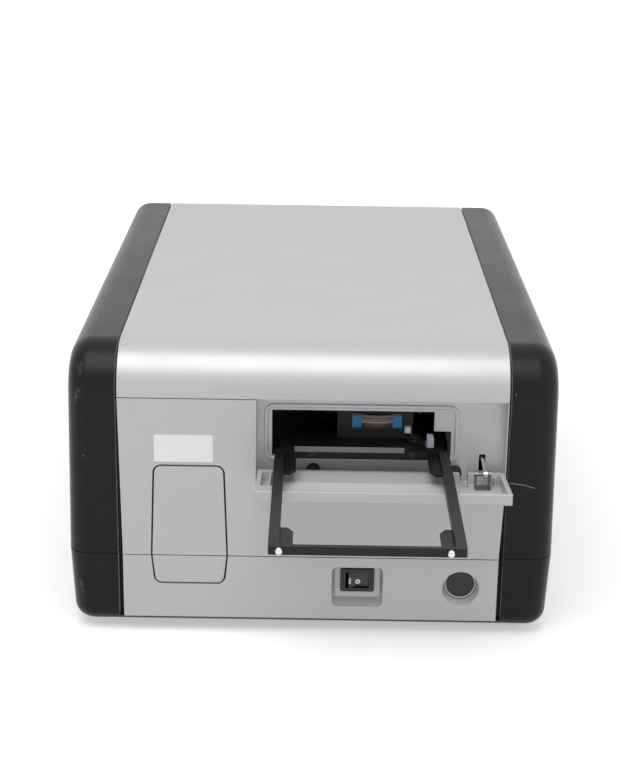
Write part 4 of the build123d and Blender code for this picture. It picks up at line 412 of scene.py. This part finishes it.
NODE_FINISH = {
    "silver": ["hood", "front_panel", "lower_front_panel", "port_blank_upper", "port_blank_lower"],
    "charcoal": ["side_cover_right", "side_cover_left", "base_tub"],
    "rear": ["rear_panel"],
    "zinc": ["rear_frame", "drive_brackets", "power_supply"],
    "bracket": ["door_bracket", "door_hinge_pins"],
    "nickel": ["rear_screws", "data_socket", "button_spring", "door_link", "carrier_studs"],
    "ground": ["guide_rods", "scan_screw"],
    "machined": ["chassis_plate", "chassis_posts", "rod_stands", "drive_pulley", "idler_pulley",
                 "grating", "flash_lamp"],
    "anodised": ["plate_carrier", "carriage", "optics_bridge", "optics_head", "monochromator_case",
                 "monochromator_lid", "filter_wheel"],
    "rubber": ["feet", "port_gasket", "door_bumpers", "drive_belt"],
    "bronze": ["carriage_bushings"],
    "glass": ["head_lens", "filters"],
    "board": ["main_board", "detector_board"],
    "film": ["flat_cable"],
    "black": ["power_inlet", "switch_bezel", "fan_frame", "fan_rotor", "carriage_fasteners"],
    "dark_board": ["carriage_board"],
    "rocker": ["switch_rocker"],
    "gloss": ["button_cap"],
    "ring": ["button_bezel"],
    "door": ["carrier_door"],
    "white": ["label_plate", "plate_sensor"],
    "lever": ["clamp_lever"],
    "blue": ["cable_ends"],
    "motor": ["stepper_motors"],
}

for finish_name, node_names in NODE_FINISH.items():
    for node_name in node_names:
        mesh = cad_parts[node_name].data
        mesh.materials.clear()
        mesh.materials.append(FINISHES[finish_name])


# ---- pieces made from surfaces -------------------------------------------------------------
def ring_faces(rings, around):
    """Numbers of the points in rings, each next to its neighbour round the ring, and the
    four-cornered faces between one ring and the next."""
    here = np.arange(rings * around).reshape(rings, around)
    beside = np.roll(here, -1, axis=1)
    faces = np.stack([here[:-1], beside[:-1], beside[1:], here[1:]], axis=-1).reshape(-1, 4)
    return here, beside, faces


def mesh_object(name, points, faces):
    """A mesh in the scene from points in metres and faces of point numbers."""
    mesh = bpy.data.meshes.new(name)
    mesh.from_pydata(points.tolist(), [], [tuple(face) for face in faces])
    mesh.update()
    made = bpy.data.objects.new(name, mesh)
    bpy.context.scene.collection.objects.link(made)
    return made


def piece(name, points):
    """A closed skin from rings of points, shape (rings, points round a ring, 3), in millimetres.
    The first and last rings close to a point at their middle."""
    rings, around, _ = points.shape
    here, beside, faces = ring_faces(rings, around)
    count = rings * around
    caps = [(count, b, a) for a, b in zip(here[0], beside[0])]
    caps += [(count + 1, a, b) for a, b in zip(here[-1], beside[-1])]
    corners = np.vstack([points.reshape(-1, 3), points[0].mean(0), points[-1].mean(0)])
    corners = (corners + [0, FRONT / MM, 0]) * MM
    return mesh_object(name, corners, list(faces) + caps)


def finish_piece(made, body, finish):
    """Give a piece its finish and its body."""
    made.data.materials.append(FINISHES[finish])
    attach(made, body)


EDGE_POINTS = 32


def rounded_bar(low, high, r):
    """A box between two corners with its edges along X rounded by r, and its ends eased by r / 2:
    a rounded rectangle of (y, z) points, each a corner's centre plus r times (cos, sin) of its
    angle, carried along X and drawn in at both ends."""
    (x0, y0, z0), (x1, y1, z1) = low, high
    turn = np.linspace(0, 2 * np.pi, EDGE_POINTS, endpoint=False)
    round_the_edge = np.stack([np.cos(turn), np.sin(turn)], -1)
    corner = np.sign(np.round(round_the_edge, 6)) * [(y1 - y0) / 2 - r, (z1 - z0) / 2 - r]
    middle = [(y0 + y1) / 2, (z0 + z1) / 2]
    full = corner + r * round_the_edge + middle
    drawn_in = corner + r / 2 * round_the_edge + middle
    stations = ((x0, drawn_in), (x0 + r / 2, full), (x1 - r / 2, full), (x1, drawn_in))
    return np.stack([np.column_stack([np.full(EDGE_POINTS, x), ring]) for x, ring in stations])


# The pale strip set on the carrier's back wall, behind the plate.
STRIP_LOW = (-10.0, -0.5, 112.7)
STRIP_HIGH = (51.4, -0.2, 115.8)
STRIP_R = 0.12
strip = piece("nest_back_strip", rounded_bar(STRIP_LOW, STRIP_HIGH, STRIP_R))
finish_piece(strip, "carrier", "strip")


# ---- stage ---------------------------------------------------------------------------------
FLOOR_RINGS = (0.0, 0.5, 1.5, 6.0, 30.0)
FLOOR_POINTS = 96
FLOOR_DOWN = 0.0002        # under the feet
GLOW_REACH = (0.3, 1.2)    # the floor's glow grows over these distances from the middle
GLOW_LEVEL = (0.44, 0.78)
WORLD_LEVEL = (0.50, 1.0)  # on the object, and as seen
AIM = (0, 0, 0.1)
# Each lamp: its name, place, size and power.
LAMPS = (
    ("softbox_top", (-0.2, -0.8, 2.0), 1.5, 27.0),
    ("softbox_left", (-1.8, -1.2, 0.9), 1.2, 1.5),
    ("softbox_right", (1.8, -1.0, 0.9), 1.2, 3.0),
)


def background_rays(tree):
    """1 for the rays that show the surround: from the camera, off gloss and through glass."""
    rays = add(tree, "LightPath").outputs
    seen = math_node(tree, "MAXIMUM", rays["Is Camera Ray"], rays["Is Glossy Ray"])
    return math_node(tree, "MAXIMUM", seen, rays["Is Transmission Ray"])


def floor_finish():
    """Pale matt floor that keeps the object's shadow and is near white to the eye."""
    made, tree, shader, place = start("pale_floor", Roughness=0.9)
    shader.inputs["Base Color"].default_value = linear("#DADADA")
    away = add(tree, "VectorMath", {0: place}, operation="LENGTH").outputs["Value"]
    level = math_node(tree, "MULTIPLY", background_rays(tree), span(tree, away, *GLOW_REACH, *GLOW_LEVEL))
    glow = add(tree, "Emission", {"Strength": level})
    both = add(tree, "AddShader", {0: shader.outputs["BSDF"], 1: glow.outputs[0]})
    out = [n for n in tree.nodes if n.type == "OUTPUT_MATERIAL"][0]
    tree.links.new(both.outputs[0], out.inputs["Surface"])
    return made


def floor():
    """A wide disc just under the feet: rings of points at r times (cos, sin) of their angle."""
    turn = np.linspace(0, 2 * np.pi, FLOOR_POINTS, endpoint=False)
    level = np.full((len(FLOOR_RINGS), FLOOR_POINTS), -FLOOR_DOWN)
    points = np.stack([np.outer(FLOOR_RINGS, np.cos(turn)), np.outer(FLOOR_RINGS, np.sin(turn)), level], -1)
    faces = ring_faces(len(FLOOR_RINGS), FLOOR_POINTS)[2]
    ground = mesh_object("floor", points.reshape(-1, 3), faces[:, ::-1])
    ground.data.materials.append(floor_finish())


def surround():
    """A plain white world: half strength on the object, full strength where it is seen."""
    world = bpy.data.worlds.new("studio")
    bpy.context.scene.world = world
    world.use_nodes = True
    tree = world.node_tree
    tree.nodes.clear()
    level = span(tree, background_rays(tree), 0.0, 1.0, *WORLD_LEVEL)
    shown = add(tree, "Background", {"Strength": level, "Color": [1, 1, 1, 1]})
    add(tree, "OutputWorld", {"Surface": shown.outputs[0]})


def lamps():
    """Three soft square lamps, turned towards the reader: a main one above, weak ones beside."""
    for name, place, size, power in LAMPS:
        lamp = bpy.data.lights.new(name, "AREA")
        lamp.shape = "SQUARE"
        lamp.size = size
        lamp.energy = power
        made = bpy.data.objects.new(name, lamp)
        bpy.context.scene.collection.objects.link(made)
        made.location = place
        made.rotation_euler = (Vector(AIM) - Vector(place)).to_track_quat("-Z", "Y").to_euler()


CAMERA_PLACE = (0.0005, -1.0026, 0.4501)
YAW = -0.00233             # radians
PITCH = 0.32642
ROLL = 0.01448
SENSOR = 36.0
FRAME_HEIGHT_PX = 768
FOCAL_PX = 1683.16


def camera():
    """The view of the whole front from a little above: near the middle, 19 degrees down."""
    ahead = np.array([math.sin(YAW) * math.cos(PITCH), math.cos(YAW) * math.cos(PITCH), -math.sin(PITCH)])
    level = np.array([math.cos(YAW), -math.sin(YAW), 0.0])
    upright = np.cross(level, ahead)
    right = level * math.cos(ROLL) + upright * math.sin(ROLL)
    up = -level * math.sin(ROLL) + upright * math.cos(ROLL)
    view = bpy.data.cameras.new("front_view")
    view.sensor_width = SENSOR
    view.lens = SENSOR * FOCAL_PX / FRAME_HEIGHT_PX
    made = bpy.data.objects.new("front_view", view)
    bpy.context.scene.collection.objects.link(made)
    rows = [[*axes, place] for *axes, place in zip(right, up, -ahead, CAMERA_PLACE)]
    made.matrix_world = Matrix(rows + [[0, 0, 0, 1]])
    bpy.context.scene.camera = made


floor()
surround()
lamps()
camera()
bpy.context.scene.view_settings.view_transform = "Standard"
